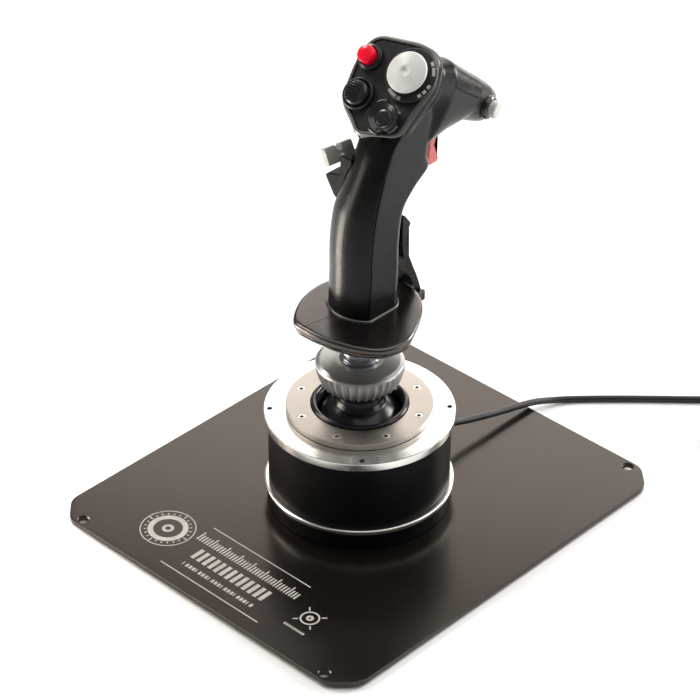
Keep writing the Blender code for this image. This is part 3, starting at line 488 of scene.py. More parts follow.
CARRIED = {
    "pad": ["foot_pad_1", "foot_pad_2", "foot_pad_3", "foot_pad_4"],
    "acetal": ["gimbal_yoke", "gimbal_ring"],
    "steel": ["pitch_pin_left", "pitch_pin_right", "roll_pin", "stick_shaft", "sensor_magnet"],
    "spring": ["return_spring"],
    "board": ["controller_board", "switch_board"],
    "dark_metal": ["trim_hat_pivot", "ribbed_hat_pivot", "castle_hat_pivot", "side_hat_pivot",
                   "side_hat_plunger"],
}


def finish_carried_nodes():
    """The foot pads and the inner CAD nodes stay in place, with a real finish and eased edges."""
    for material, names in CARRIED.items():
        for name in names:
            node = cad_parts[name]
            node.data.materials.clear()
            node.data.materials.append(MATERIALS[material])
            weld = node.modifiers.new("weld", "WELD")
            weld.merge_threshold = 0.01 * MM
            if name != "return_spring":
                ease = node.modifiers.new("ease", "BEVEL")
                ease.width = 0.2 * MM
                ease.segments = 2
                ease.angle_limit = math.radians(40)


# ---------------------------------------------------------------- cable

CABLE_R = 2.0
GLAND_AT = Vector((4.0, 52.9, 23.0))
GLAND_AXIS = Vector((0.07, 0.975, -0.21)).normalized()
GLAND_LONG = 12.0
COIL_AT = Vector((134.0, 216.0, 0.2))
COIL_MEAN, COIL_PITCH = 23.5, 4.06
PLUG_AT = Vector((165.7, 196.5, 4.2))
PLUG_BODY, PLUG_SHELL = (15.0, 30.0, 8.0), (12.0, 12.0, 4.5)


def coil_point(radius, angle, height):
    x, y = polar(radius, angle)
    return Vector((COIL_AT.x + x, COIL_AT.y + y, height))


def coil_points(start_angle):
    """Nine turns in three layers, wound inwards and outwards in turn. The last rises to a fourth layer."""
    per_turn = 40
    spots = []
    for layer in range(3):
        columns = (1, 0, -1) if layer % 2 == 0 else (-1, 0, 1)
        spots += [(COIL_MEAN + column * COIL_PITCH, layer) for column in columns]
    spots.append((COIL_MEAN - COIL_PITCH, 3))
    made = []
    move = 0.22                                # share of a turn over which the cable shifts to its next place
    for (radius, layer), (next_radius, next_layer) in zip(spots, spots[1:]):
        for i in range(per_turn):
            share = i / per_turn
            t = eased_share(max(0.0, (share - (1 - move)) / move))
            r = radius + (next_radius - radius) * t
            z = CABLE_R + 0.1 + (layer + (next_layer - layer) * t) * COIL_PITCH
            made.append(coil_point(r, start_angle - math.tau * share, z))
    return made


def tail_points(start_angle):
    """From the innermost turn on top: out across the layers, down outside them and into the plug."""
    made = []
    top = CABLE_R + 0.1 + 3 * COIL_PITCH
    end_radius = PLUG_AT.x - COIL_AT.x
    # angles fall, so the tail ends where the circle's tangent points along -Y
    sweep = math.tau + (start_angle % math.tau)
    steps = 44
    # shares of the tail by which it is out past the layers, and after which it goes down
    out_by, down_from = 0.62, 0.66
    for i in range(steps + 1):
        share = i / steps
        out = eased_share(min(1.0, share / out_by))
        down = eased_share(max(0.0, (share - down_from) / (1 - down_from)))
        r = COIL_MEAN - COIL_PITCH + (end_radius - COIL_MEAN + COIL_PITCH) * out
        z = top + (PLUG_AT.z - top) * down
        made.append(coil_point(r, start_angle - sweep * share, z))
    straight = 5
    for i in range(1, straight + 1):
        made.append(Vector((PLUG_AT.x, COIL_AT.y + (PLUG_AT.y - 1.0 - COIL_AT.y) * i / straight, PLUG_AT.z)))
    return made


def make_plug():
    wide, long, high = PLUG_BODY
    low = Vector((PLUG_AT.x - wide / 2, PLUG_AT.y - long, PLUG_AT.z - high / 2))
    top = Vector((PLUG_AT.x + wide / 2, PLUG_AT.y, PLUG_AT.z + high / 2))
    body = block("plug_body", low, top, 1.8)
    grooves = []
    for i in range(4):
        y = PLUG_AT.y - 7 - i * 2.4
        for side in (-1, 1):
            near, far = sorted((PLUG_AT.x + side * (wide / 2 - 0.5), PLUG_AT.x + side * (wide / 2 + 1)))
            grooves.append((block(f"plug_groove_{side}_{i}", (near, y, 0), (far, y + 1.1, 9)), None))
    made = piece("plug_body_fine", carve(body, grooves), "plug", "root", ["usb_plug_body"])
    wide, long, high = PLUG_SHELL
    near = PLUG_AT.y - PLUG_BODY[1] - 0.3
    low = Vector((PLUG_AT.x - wide / 2, near - long, PLUG_AT.z - high / 2))
    top = Vector((PLUG_AT.x + wide / 2, near, PLUG_AT.z + high / 2))
    wall = Vector((0.35, 0, 0.35))
    mouth = block("plug_mouth", low + wall - Vector((0, 2, 0)), top - wall - Vector((0, 2.5, 0)))
    cuts = [(mouth, None)]
    for side in (-1, 1):
        x = PLUG_AT.x + side * 2.9
        low_corner, high_corner = (x - 1.1, near - 7.2, 5.2), (x + 1.1, near - 5.0, 8)
        cuts.append((block(f"plug_window_{side}", low_corner, high_corner), None))
    shell = piece("plug_shell_fine", carve(block("plug_shell", low, top, 0.25), cuts), "plug_shell", "root",
                  ["usb_plug_shell"])
    low, top = (low.x + 0.7, low.y + 0.6, PLUG_AT.z + 0.1), (top.x - 0.7, top.y - 2.8, top.z - 0.5)
    tongue = block("plug_tongue", low, top, 0.15)
    blade = piece("plug_tongue_fine", tongue, "acetal", "root")
    return made, shell, blade


def make_gland():
    """A tapered strain relief with flexing grooves."""
    profile = [(CABLE_R + 0.05, GLAND_LONG), (2.6, GLAND_LONG)]
    count = 5
    for i in range(count):
        z = GLAND_LONG - 1.2 - i * 1.7
        r = 2.65 + 0.12 * i
        profile += [(r, z + 0.5), (r - 0.45, z + 0.3), (r - 0.45, z - 0.3), (r + 0.05, z - 0.5)]
    profile += [(3.5, 2.2), (3.9, 2.0), (3.9, 0.2), (3.0, 0.2), (3.0, -6), (CABLE_R + 0.05, -6)]
    turned("gland", profile, 48, 0.12, "pad", "root", "cable_gland", frame_along(GLAND_AXIS, GLAND_AT))


def make_cord():
    start = GLAND_AT + GLAND_AXIS * (GLAND_LONG + 0.3)
    entry = Vector((0.73, 0.683, 0)).normalized()
    outer_turn = COIL_MEAN + COIL_PITCH
    touch = COIL_AT + Vector((-entry.y, entry.x, 0)) * outer_turn
    touch.z = CABLE_R + 0.1
    route = [start, start + GLAND_AXIS * 6, (7.5, 84, 15.8), (10, 98, 13.2), (12, 112, 10.6),
             (14.0, 126, 8.4), (16.0, 137, 6.2), (19.5, 148, 3.4), (25, 157, 2.2), (36, 168.5, 2.1),
             (52, 184, 2.1), (74, 204.5, 2.1), (95, 223.4, 2.1)]
    first_angle = math.atan2(entry.x, -entry.y)
    points = smooth_through([*route, touch - entry * 6], 4)
    points += coil_points(first_angle)
    points += tail_points(first_angle)
    curve = bpy.data.curves.new("cord", "CURVE")
    curve.dimensions = "3D"
    curve.bevel_depth = CABLE_R * MM
    curve.bevel_resolution = 4
    curve.use_fill_caps = True
    line = curve.splines.new("POLY")
    line.points.add(len(points) - 1)
    for point, at in zip(line.points, points):
        point.co = (*(at * MM), 1)
    line.use_smooth = True
    made = linked("usb_cord", curve)
    curve.materials.append(MATERIALS["cable"])
    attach(made, "root")
    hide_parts("usb_cable", "cable_coil")
    make_plug()


# ---------------------------------------------------------------- base

PLATE_X, PLATE_Y, PLATE_T, PLATE_CORNER, PLATE_Z = 228.0, 262.4, 3.0, 13.0, 1.5
PLATE_TOP = PLATE_Z + PLATE_T
PLATE_HOLE = (94.7, 126.1, 3.0)


def make_plate():
    x, y, corner = PLATE_X / 2, PLATE_Y / 2, PLATE_CORNER
    outline = [(-x + corner, -y), (x - corner, -y), (x, -y + corner), (x, y - corner), (x - corner, y),
               (-x + corner, y), (-x, y - corner), (-x, -y + corner)]
    outline = [(p.x, p.y) for p in eased(outline, 5.0, True, 5)]
    slab = prism("plate_slab", outline, PLATE_Z, PLATE_TOP, "XY", 0.45)
    hole_x, hole_y, hole_r = PLATE_HOLE
    cuts = []
    for sx, sy in ((-1, -1), (1, -1), (1, 1), (-1, 1)):
        at = upright((sx * hole_x, sy * hole_y, 0))
        sink = [(0, 10), (hole_r + 6.1, 10), (hole_r, PLATE_TOP - 0.6), (hole_r, -1), (0, -1)]
        cuts.append((lathe("plate_sink", sink, 40, 0), at))
    piece("plate_fine", carve(slab, cuts, sharp=30), "plate", "root", ["base_plate"])
    make_print()


def make_print():
    """Plain lines, a ringed compass mark and a graduated bar, as thin paint on the plate's rear edge."""
    low, high = PLATE_TOP - 0.02, PLATE_TOP + 0.035
    left, right, near, far = -36.0, 40.0, -121.5, -80.5
    parts = []

    def bar(x, y, wide, tall):
        parts.append(block("bar", (x, y, low), (x + wide, y + tall, high)))

    def spoke(at, angle, start, end, half):
        mesh = block("spoke", (start, -half, low), (end, half, high))
        mesh.transform(at @ Matrix.Rotation(angle, 4, "Z"))
        parts.append(mesh)

    for y in (near, far):
        bar(left, y - 0.35, right - left, 0.7)
    for i in range(39):
        bar(left + i * 2.0 - 0.5, -94.0, 1.0, 7.6 if i % 5 == 0 else 5.4)
    for i in range(13):
        bar(-27 + i * 4.4, -107.6, 2.6, 9.2)
    for i in range(22):
        bar(-26 + i * 2.5, -115.2, 1.7 if i % 4 else 0.7, 2.6)

    def ring(at, inner, outer):
        mesh = lathe("ring", [(inner, high), (outer, high), (outer, low), (inner, low)], 72, 0)
        mesh.transform(at)
        parts.append(mesh)

    dial, small = upright((-54.5, -98.5, 0)), upright((58.0, -99.5, 0))
    for inner, outer in ((15.4, 16.0), (8.4, 11.6), (1.6, 3.4)):
        ring(dial, inner, outer)
    for i in range(24):
        spoke(dial, math.tau * i / 24, 12.3, 15.1 if i % 6 == 0 else 13.7, 0.35)
    ring(small, 4.6, 5.6)
    ring(small, 0.8, 2.2)
    for i in range(4):
        spoke(small, math.tau * (i + 0.5) / 4, 6.4, 9.4, 0.4)
    for i in range(9):
        bar(50.5 + i * 1.7, -112.4, 1.0, 1.6)
    piece("plate_print", joined("plate_print", parts), "print", "root")


FOOT_R, FOOT_TOP = 52.5, 15.0
TRIM_R, TRIM_TOP = 53.9, 18.2
SHELL_R, SHELL_WALL, SHELL_TOP = 51.5, 3.0, 59.0
FLANGE_R, FLANGE_BORE, FLANGE_TOP = 53.8, 30.0, 64.3
DISC_R, DISC_BORE, DISC_TOP = 41.4, 27.6, 68.3
DISC_SCREW_RING, DISC_SCREWS = 35.2, 8
FLANGE_HOLE_RING, FLANGE_HOLES = 50.4, 4
GAP = 0.3


def round_the_axis(count, radius):
    """Angles and places evenly round the housing's axis, half a step from +X."""
    angles = [math.tau * (i + 0.5) / count for i in range(count)]
    return [(angle, upright((*polar(radius, angle), 0))) for angle in angles]


def make_housing():
    foot, inner = PLATE_TOP + GAP, FOOT_R - 3.5
    profile = [(0, foot + 3.2), (inner, foot + 3.2), (inner, FOOT_TOP), (FOOT_R, FOOT_TOP), (FOOT_R, foot),
               (0, foot)]
    turned("base_foot", profile, 128, 0.5, "drum", "root", "base_foot")
    low = FOOT_TOP + GAP
    profile = [(inner, TRIM_TOP), (TRIM_R, TRIM_TOP), (TRIM_R, low), (inner, low)]
    turned("trim_ring", profile, 128, 0.9, "trim", "root", "lower_trim_ring")
    inner, low = SHELL_R - SHELL_WALL, TRIM_TOP + GAP
    profile = [(inner, SHELL_TOP), (SHELL_R, SHELL_TOP), (SHELL_R, low), (inner, low)]
    drum = carve(lathe("drum", profile, 128, 0.3), [(rod("gland_hole", 3.3, -12, 12),
                                                     frame_along(GLAND_AXIS, GLAND_AT))])
    piece("housing_fine", drum, "drum", "root", ["housing_shell"])


def make_top():
    low = SHELL_TOP + GAP
    profile = [(FLANGE_BORE, FLANGE_TOP), (FLANGE_R, FLANGE_TOP), (FLANGE_R, low), (FLANGE_BORE, low)]
    head_r, head_t = 2.4, 1.6
    head_top = DISC_TOP - 0.1
    pocket = [(0, DISC_TOP + 2), (head_r + 0.12, DISC_TOP + 2), (head_r + 0.12, head_top - head_t - GAP),
              (1.5, head_top - head_t - GAP), (1.5, FLANGE_TOP - 1.9), (0, FLANGE_TOP - 1.9)]
    screws = round_the_axis(DISC_SCREWS, DISC_SCREW_RING)
    holes = round_the_axis(FLANGE_HOLES, FLANGE_HOLE_RING)
    pockets = [(lathe("pocket", pocket, 32, 0), at) for _, at in screws]
    drills = [(rod("flange_hole", 1.55, FLANGE_TOP - 3, FLANGE_TOP + 2, 28), at) for _, at in holes]
    flange = carve(lathe("flange", profile, 160, 0.55), drills + pockets, sharp=30)
    piece("flange_fine", flange, "flange", "root", ["top_flange"])
    # near-black discs 1 mm down in the flange holes, painted shade in the holes
    shade_discs = []
    for _, at in holes:
        floor = rod("hole_shade_disc", 1.5, FLANGE_TOP - 1.0, FLANGE_TOP - 0.7, 24)
        floor.transform(at)
        shade_discs.append(floor)
    piece("flange_hole_shade_discs", joined("flange_hole_shade_discs", shade_discs), "socket", "root")
    low = FLANGE_TOP + GAP
    profile = [(DISC_BORE, DISC_TOP), (DISC_R, DISC_TOP), (DISC_R, low), (DISC_BORE, low)]
    disc = carve(lathe("disc", profile, 144, 0.45), pockets, sharp=30)
    piece("disc_fine", disc, "disc", "root", ["top_disc"])

    head = [(0, head_top), (head_r, head_top), (head_r, head_top - 0.4), (1.2, head_top - head_t),
            (1.2, FLANGE_TOP - 1.6), (0, FLANGE_TOP - 1.6)]
    for i, (angle, at) in enumerate(screws):
        socket = rod("hex_socket", 1.15, head_top - 0.9, head_top + 1, 6)
        screw = carve(lathe("screw", head, 36, 0.12), [(socket, Matrix.Rotation(angle, 4, "Z"))])
        piece(f"disc_screw_fine_{i + 1}", screw, "screw", "root", [f"disc_screw_{i + 1}"], at)
        # a near-black disc at the bottom of the hex socket, painted shade
        bottom = rod("socket_shade_disc", 1.2, head_top - 0.95, head_top - 0.75, 20)
        piece(f"disc_socket_shade_{i + 1}", bottom, "socket", "root", (), at)
    lip = [(22.8, 64.4), (23.4, 67.0), (24.8, 69.6), (26.2, 70.0), (27.3, 69.2), (27.3, 64.2), (29.4, 64.2),
           (29.4, 60.2), (25.8, 60.2)]
    turned("bezel", lip, 112, 0.7, "lip", "root", "opening_bezel")


# ---------------------------------------------------------------- stick

PIVOT_Z = 43.5
DOME_R, DOME_WALL = 30.0, 1.4
LOCK_R, LOCK_TOP, LOCK_H = 25.1, 98.9, 15.6
COUPLING_R, NECK_R = 11.0, 10.0
REST_Z, REST_TOP = 120.5, 128.5
GRIP_Z = REST_TOP + GAP
FLUTES = 34


def make_stick():
    first, last, steps = math.radians(29), math.radians(70), 14
    arc = [first + (last - first) * i / steps for i in range(steps + 1)]
    inner = DOME_R - DOME_WALL
    trumpet = [(11.3, 85.0), (12.0, 84.6), (12.1, 78.0), (12.4, 75.0), (13.1, 72.2)]
    outside, inside = [[(r * math.sin(a), PIVOT_Z + r * math.cos(a)) for a in arc] for r in (DOME_R, inner)]
    inside.reverse()
    dome = [*trumpet, *outside, *inside, (11.3, 73.0)]
    turned("dome", dome, 128, 0.35, "dome", "stick", "dust_dome", sharp=50)

    profile = [(0, 120.2), (NECK_R, 120.2), (NECK_R, 105.0), (NECK_R - 0.4, 104.7), (NECK_R - 0.4, 103.9),
               (NECK_R, 103.6), (NECK_R, 99.8), (COUPLING_R, 99.4), (COUPLING_R, 79), (10.6, 75),
               (10.6, 73.8), (5.4, 73.8), (5.4, 94.5), (0, 94.5)]
    turned("coupling", profile, 96, 0.25, "steel", "stick", "stick_coupling")
    make_lock_ring()
    make_hand_rest()


def make_lock_ring():
    """A sloped cap over wide rounded flutes that narrow downwards, with a short curved slot in the cap."""
    low = LOCK_TOP - LOCK_H
    bore, skirt = COUPLING_R + 0.4, LOCK_TOP - 3.4
    profile = [(bore, LOCK_TOP), (14.0, LOCK_TOP), (22.6, LOCK_TOP - 1.2), (LOCK_R - 0.5, LOCK_TOP - 2.2),
               (LOCK_R, skirt)]
    drops = 12
    for i in range(1, drops + 1):
        t = i / drops
        profile.append((LOCK_R - 3.4 * t ** 1.8, skirt + (low - skirt) * t))
    profile += [(LOCK_R - 6.5, low), (LOCK_R - 6.5, low + 9.2), (bore, low + 9.2)]

    def flute(point):
        radius = math.hypot(point.x, point.y)
        if radius < LOCK_R - 5 or point.z > skirt - 0.05:
            return point
        angle = math.atan2(point.y, point.x)
        wave = math.cos(FLUTES * angle)
        deep = 1.6 * min(1.0, (skirt - point.z) / 0.7)
        # wide hollows between narrow lands
        shrink = 1 - deep * (0.5 + 0.5 * wave) ** 0.8 / radius
        return Vector((point.x * shrink, point.y * shrink, point.z))
    ring = lathe("lock_ring", profile, FLUTES * 10, 0.25, flute, 40)
    slot_r, slot_middle, slot_half = 14.4, math.radians(-28), 10
    slot = [(*polar(slot_r, slot_middle + math.radians(-slot_half + 2 * slot_half * i / 8)), LOCK_TOP)
            for i in range(9)]
    ring = carve(ring, [(tube("slot", slot, 0.75, False, 10), None)], sharp=40)
    piece("lock_ring_fine", ring, "lock_ring", "lock_ring", ["lock_ring"])


def rest_ring(height, inset):
    """The hand rest's rounded outline at one height, pulled in by an inset."""
    half = [(0, 38.8), (11, 35.8), (21.5, 27), (31.5, 11.7), (37.6, -2.3), (35.4, -16.7), (25, -25.8),
            (8.5, -31.9)]
    left = [(-9, -33.4), (-21.5, -30.6), (-33.6, -11.6), (-36, 9.3), (-28, 25), (-14, 35.6)]
    made = []
    for point in smooth_through([(*p, 0) for p in half + left], 8, closed=True):
        shrink = 1 - inset / point.length
        made.append((point.x * shrink, point.y * shrink, height))
    return made


LEVER_PIVOT = Vector((-3.5, 43.5, 120.5))
LEVER_W = 13.0


def make_hand_rest():
    """Two layers with a step between them, a soft top edge and a fine parting line on top."""
    step = REST_Z + 3.8
    levels = [(REST_Z, 4.4), (REST_Z + 0.3, 2.6), (REST_Z + 1.2, 1.5), (step - 0.7, 1.1), (step - 0.2, 1.5),
              (step + 0.1, 1.4), (step + 0.5, 0.3), (step + 1.2, 0.0), (REST_TOP - 1.5, 0.0),
              (REST_TOP - 0.7, 0.35), (REST_TOP - 0.15, 1.2), (REST_TOP, 2.4)]
    rings = [rest_ring(height, inset) for height, inset in levels]
    lugs = []
    for side in (-1, 1):
        near, far = sorted(LEVER_PIVOT.x + side * (LEVER_W / 2 + off) for off in (0.4, 3))
        low, high = (near, 30, LEVER_PIVOT.z - 3.2), (far, LEVER_PIVOT.y + 3, LEVER_PIVOT.z + 3.4)
        lugs.append((block(f"lug_{side}", low, high, 0.8), None))
    rest = carve(loft("hand_rest", rings, 60), lugs, "UNION", sharp=50)
    line = block("parting_line", (-0.18, -45, REST_TOP - 0.35), (0.18, -6, REST_TOP + 2))
    line.transform(Matrix.Translation(Vector((-6, -4, 0)) * MM) @ Matrix.Rotation(math.radians(-13), 4, "Z"))
    bore = rod("lever_bore", 1.4, -12, 12, 24)
    rest = carve(rest, [(line, None), (bore, frame_along((1, 0, 0), LEVER_PIVOT))], sharp=50)
    piece("hand_rest_fine", rest, "rest", "stick", ["hand_rest"])
    foot = [(p[0], p[1], REST_TOP + 0.35) for p in column_section(grip_level(GRIP_Z), 0.55, 3)]
    # the bead's rim finish is a painted highlight line round the grip's foot
    piece("grip_foot_bead", tube("foot_bead", foot, 0.75, True, 10), "rim", "stick")


# ---------------------------------------------------------------- grip

GRIP_SPLIT = -4.4
# height, middle in x, y of the rear crease, half width, flat side, chamfer, rear bulge
COLUMN = (
    (GRIP_Z, -5.0, -4.3, 15.5, 22.0, 6.0, 6.5),
    (151.5, -5.3, -2.8, 15.8, 21.5, 5.5, 7.5),
    (169.5, -5.4, -2.3, 15.9, 21.3, 5.5, 7.5),
    (188.5, -5.0, 0.0, 15.5, 22.5, 5.0, 7.0),
    (199.5, -3.6, 2.6, 14.2, 29.5, 5.0, 6.5),
    (206.5, -2.6, 4.6, 13.2, 37.0, 4.0, 6.0),
    (213.5, -2.0, 7.0, 12.8, 33.0, 5.0, 5.5),
    (223.5, -1.8, 11.0, 12.5, 30.5, 8.0, 4.5),
    (231.0, -1.6, 15.0, 12.3, 28.0, 8.0, 2.6),
    (241.0, -1.5, 27.0, 12.2, 16.0, 8.0, 1.0),
)
FACE_AT = Vector((10.5, 15.7, 232.9))
FACE_YAW, FACE_PITCH = math.radians(8.0), math.radians(43.5)
FACE_OUTLINE = (
    (0.0, 1.7), (7.7, 35.2), (3.5, 48.3), (-1.5, 53.0), (-11.2, 54.8), (-37.6, 52.0), (-43.4, 42.5),
    (-44.0, 28.0), (-42.7, 13.3), (-39.7, 9.0), (-30.5, 1.5), (-25.5, -3.6), (-11.6, -1.3),
)
FACE_MIDDLE, FACE_RIM = (-17.0, 24.0), 2.6
# nose sections: middle x, y and z, half width and half height
NOSE = (
    (-3.0, 51.7, 236.0, 15.8, 27.7),
    (-2.5, 65.4, 234.6, 14.6, 19.8),
    (-2.0, 80.0, 231.0, 13.3, 13.2),
    (-1.5, 90.0, 224.3, 11.8, 11.8),
    (-1.5, 96.0, 220.0, 10.0, 10.4),
    (-1.5, 99.5, 217.5, 6.5, 7.0),
)
NOSE_PITCH, NOSE_POWER = math.radians(38.0), 2.4
# where the seam on the nose's right side crosses its sections, and the heights that the grip's crease joins
NOSE_SEAM = tuple(math.radians(a) for a in (30, 20, 9, 9))
CREASE = (134.0, 214.0)
HEAD_POINTS = 78
TRIM_AT, RED_AT, RIBBED_AT, CASTLE_AT = (-7.8, 36.1), (-35.3, 38.3), (-32.7, 17.5), (-10.5, 9.3)
NOSE_BUTTON_AT = Vector((9.0, 90.5, 223.6))
NOSE_BUTTON_AXIS = Vector((0.965, 0.23, -0.115)).normalized()
NOSE_BUTTON_R, NOSE_COLLAR_R = 4.9, 7.0
TRIGGER_PIVOT, TRIGGER_W = Vector((-3.0, 55.0, 226.0)), 11.0
TRIGGER_SLOT_Y, TRIGGER_SLOT_Z = (44.07, 62.53), (209.11, 232.09)


def grip_level(height):
    """The column's measures at any height between its own levels."""
    for low, high in zip(COLUMN, COLUMN[1:]):
        if height <= high[0]:
            t = (height - low[0]) / (high[0] - low[0])
            return tuple(a + (b - a) * t for a, b in zip(low, high))
    return COLUMN[-1]


def column_section(level, grow=0.0, ease=2.2):
    """One section of the grip: flat sides, chamfered front corners and a bulged rear."""
    height, mid, crease, half, flat, chamfer, bulge = level
    half = half + grow
    crease, front = crease - grow * 0.4, crease + flat + grow * 0.4
    ring = [(mid + half, crease), (mid + half, front), (mid + half - chamfer, front + chamfer + grow * 0.6),
            (mid - half + chamfer, front + chamfer + grow * 0.6), (mid - half, front), (mid - half, crease)]
    arc_points = 14
    for i in range(1, arc_points):
        t = i / arc_points
        ring.append((mid - half + 2 * half * t, crease - (bulge + grow * 0.6) * math.sin(math.pi * t) ** 0.8))
    return [(p.x, p.y, height) for p in eased(ring, ease, True, 3)]


def face_axes():
    normal = Vector((math.sin(FACE_YAW) * math.cos(FACE_PITCH), -math.cos(FACE_YAW) * math.cos(FACE_PITCH),
                     math.sin(FACE_PITCH)))
    across = Vector((math.cos(FACE_YAW), math.sin(FACE_YAW), 0))
    return across, normal.cross(across), normal


def face_point(u, v, out=0.0):
    across, up, normal = face_axes()
    return FACE_AT + across * u + up * v + normal * out


def face_frame(u, v, out=0.0):
    """A frame on the face whose +X runs across it, +Y up it and +Z out of it."""
    across, up, normal = face_axes()
    return Matrix.Translation(face_point(u, v, out) * MM) @ Matrix((across, up, normal)).transposed().to_4x4()


def reach(outline, middle, angle):
    """Distance from a middle point to a polygon in one direction."""
    direction = Vector((math.cos(angle), math.sin(angle)))
    far = 0.0
    for a, b in zip(outline, outline[1:] + outline[:1]):
        start, edge = Vector(a) - Vector(middle), Vector(b) - Vector(a)
        bottom = direction.x * edge.y - direction.y * edge.x
        if abs(bottom) > 1e-9:
            along = (start.x * edge.y - start.y * edge.x) / bottom
            on_edge = (start.x * direction.y - start.y * direction.x) / bottom
            if -1e-9 <= on_edge <= 1 + 1e-9:
                far = max(far, along)
    return far


SOFT_OUTLINE = [tuple(p) for p in eased([Vector(p) for p in FACE_OUTLINE], 5.0, True, 5)]


def face_ring(deep, inset, scale=1.0):
    """The face outline as a ring of points by angle, sunk into the head by a depth."""
    made = []
    for i in range(HEAD_POINTS):
        angle = math.tau * i / HEAD_POINTS
        u, v = polar((reach(SOFT_OUTLINE, FACE_MIDDLE, angle) - inset) * scale, angle)
        made.append(face_point(FACE_MIDDLE[0] + u, FACE_MIDDLE[1] + v, -deep))
    return made


def nose_ring(section, inset, angles=None):
    """Points round a nose section, at even angles or at the given ones."""
    mid_x, mid_y, mid_z, half_w, half_h = section
    up = Vector((0, math.sin(NOSE_PITCH), math.cos(NOSE_PITCH)))
    made = []
    for angle in angles or [math.tau * i / HEAD_POINTS for i in range(HEAD_POINTS)]:
        across, rise = math.cos(angle), math.sin(angle)
        across = math.copysign(abs(across) ** (2 / NOSE_POWER), across) * (half_w - inset)
        rise = math.copysign(abs(rise) ** (2 / NOSE_POWER), rise) * (half_h - inset)
        made.append(Vector((mid_x + across, mid_y, mid_z)) + up * rise)
    return made


def remeshed(meshes, name, voxel, smooth):
    """Overlapping solids as one even skin with soft edges."""
    merged = joined(name, meshes)
    holder = linked(merged.name, merged)
    skin = holder.modifiers.new("skin", "REMESH")
    skin.mode = "VOXEL"
    skin.voxel_size = voxel * MM
    soften = holder.modifiers.new("soften", "SMOOTH")
    soften.factor = 0.5
    soften.iterations = smooth
    return applied(holder, name, 180)


def make_grip():
    """Two shells that meet on the seam, softened from one skin, with crisp cuts for what sits in them."""
    wall, voxel, soft = ((2.6, 0.62, 12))
    heights = [GRIP_Z + (COLUMN[-1][0] - GRIP_Z) * i / 56 for i in range(57)]
    levels = smooth_levels(heights)
    column = loft("column", [column_section(level) for level in levels])
    head = loft("head", [face_ring(0, 1.3), face_ring(1.2, 0.1), face_ring(5, -0.6), face_ring(14, 1.5, 0.94)]
                + [nose_ring(section, 0) for section in NOSE])
    skin = remeshed([column, head], "grip_skin", voxel, soft)

    lifted = [(GRIP_Z + 3.0, *levels[0][1:]), *levels[4:-1], (COLUMN[-1][0] + 3.0, *COLUMN[-1][1:])]
    hollow = remeshed([loft("hollow_column", [column_section(level, -wall) for level in lifted]),
                       loft("hollow_head", [face_ring(1.5, 5.2), face_ring(5, 4.6), face_ring(14, 4.6, 0.94)]
                            + [nose_ring(section, wall) for section in NOSE[:-2]])], "hollow", 1.2, 2)
    mouth = loft("mouth", [face_ring(-1, 5.4), face_ring(6, 5.4)])
    recess = loft("face_recess", [face_ring(-2, FACE_RIM), face_ring(2.6, FACE_RIM)])
    button = frame_along(NOSE_BUTTON_AXIS, NOSE_BUTTON_AT)
    half = TRIGGER_W / 2 + 0.53
    slot = block("trigger_slot", *[(TRIGGER_PIVOT.x + side * half, TRIGGER_SLOT_Y[i], TRIGGER_SLOT_Z[i])
                                   for i, side in enumerate((-1, 1))])
    level_foot = block("foot_cut", (-60, -60, 100), (60, 80, GRIP_Z))
    notch = block("nose_notch", (-1.3, -4.0, -1.5), (1.3, 4.0, 4.0), 0.3)
    notch_at = frame_along((0.27, 0.6, 0.76), (1.6, 87.6, 241.6))
    seam = [nose_ring(section, 0.1, (angle,))[0] for section, angle in zip(NOSE, NOSE_SEAM)]
    seam = tube("nose_seam", smooth_through(seam, 8), 0.42, False, 8)
    crease = [(level[1] + level[3] - 0.5, level[2] + 0.2, level[0]) for level in levels
              if CREASE[0] < level[0] < CREASE[1]]
    crease = tube("crease", crease, 0.55, False, 8)
    bore = rod("nose_bore", NOSE_COLLAR_R + GAP, -9, 12)
    cuts = [(hollow, None), (mouth, None), (recess, None), (bore, button), (slot, None), (level_foot, None),
            (notch, notch_at), (seam, None), (crease, None)]
    skin = carve(skin, cuts, sharp=40, solver="MANIFOLD")
    for side, name in ((-1, "left"), (1, "right")):
        low, high = sorted((GRIP_SPLIT + side * 0.11, -side * 80))
        other = block(f"other_half_{name}", (low, -60, 100), (high, 140, 330))
        half_mesh = carve(skin.copy(), [(other, None)], sharp=40, solver="MANIFOLD")
        piece(f"grip_fine_{name}", half_mesh, "grip", "stick", [f"grip_shell_{name}"])
    edge = [(0.6, 2.5), (-0.3, 2.5), (-0.45, 2.2), (-0.45, 1.5), (-0.3, 1.15), (0.9, 0.0), (1.3, -0.15),
            (1.7, 0.1), (1.7, 0.9)]
    rim = loft("face_rim", [face_ring(deep, inset) for deep, inset in edge], 50, True)
    # the rim finish is a lighter copy of the grip's black, a painted highlight line round the face
    piece("face_rim_bead", rim, "rim", "stick")


def smooth_levels(heights):
    """The column's levels read from a smooth curve through them."""
    fine = []
    for k in range(len(COLUMN) - 1):
        a, b = COLUMN[max(k - 1, 0)], COLUMN[k]
        c, d = COLUMN[k + 1], COLUMN[min(k + 2, len(COLUMN) - 1)]
        for height in heights:
            last = k == len(COLUMN) - 2 and height <= c[0] + 1e-6
            if not (b[0] - 1e-6 <= height and (height < c[0] or last)):
                continue
            span = c[0] - b[0]
            t = (height - b[0]) / span
            row = [height]
            for i in range(1, len(b)):
                slope_b = (c[i] - a[i]) / max(c[0] - a[0], 1e-6) * span
                slope_c = (d[i] - b[i]) / max(d[0] - b[0], 1e-6) * span
                row.append((2 * t ** 3 - 3 * t * t + 1) * b[i] + (t ** 3 - 2 * t * t + t) * slope_b
                           + (3 * t * t - 2 * t ** 3) * c[i] + (t ** 3 - t * t) * slope_c)
            fine.append(tuple(row))
    return fine


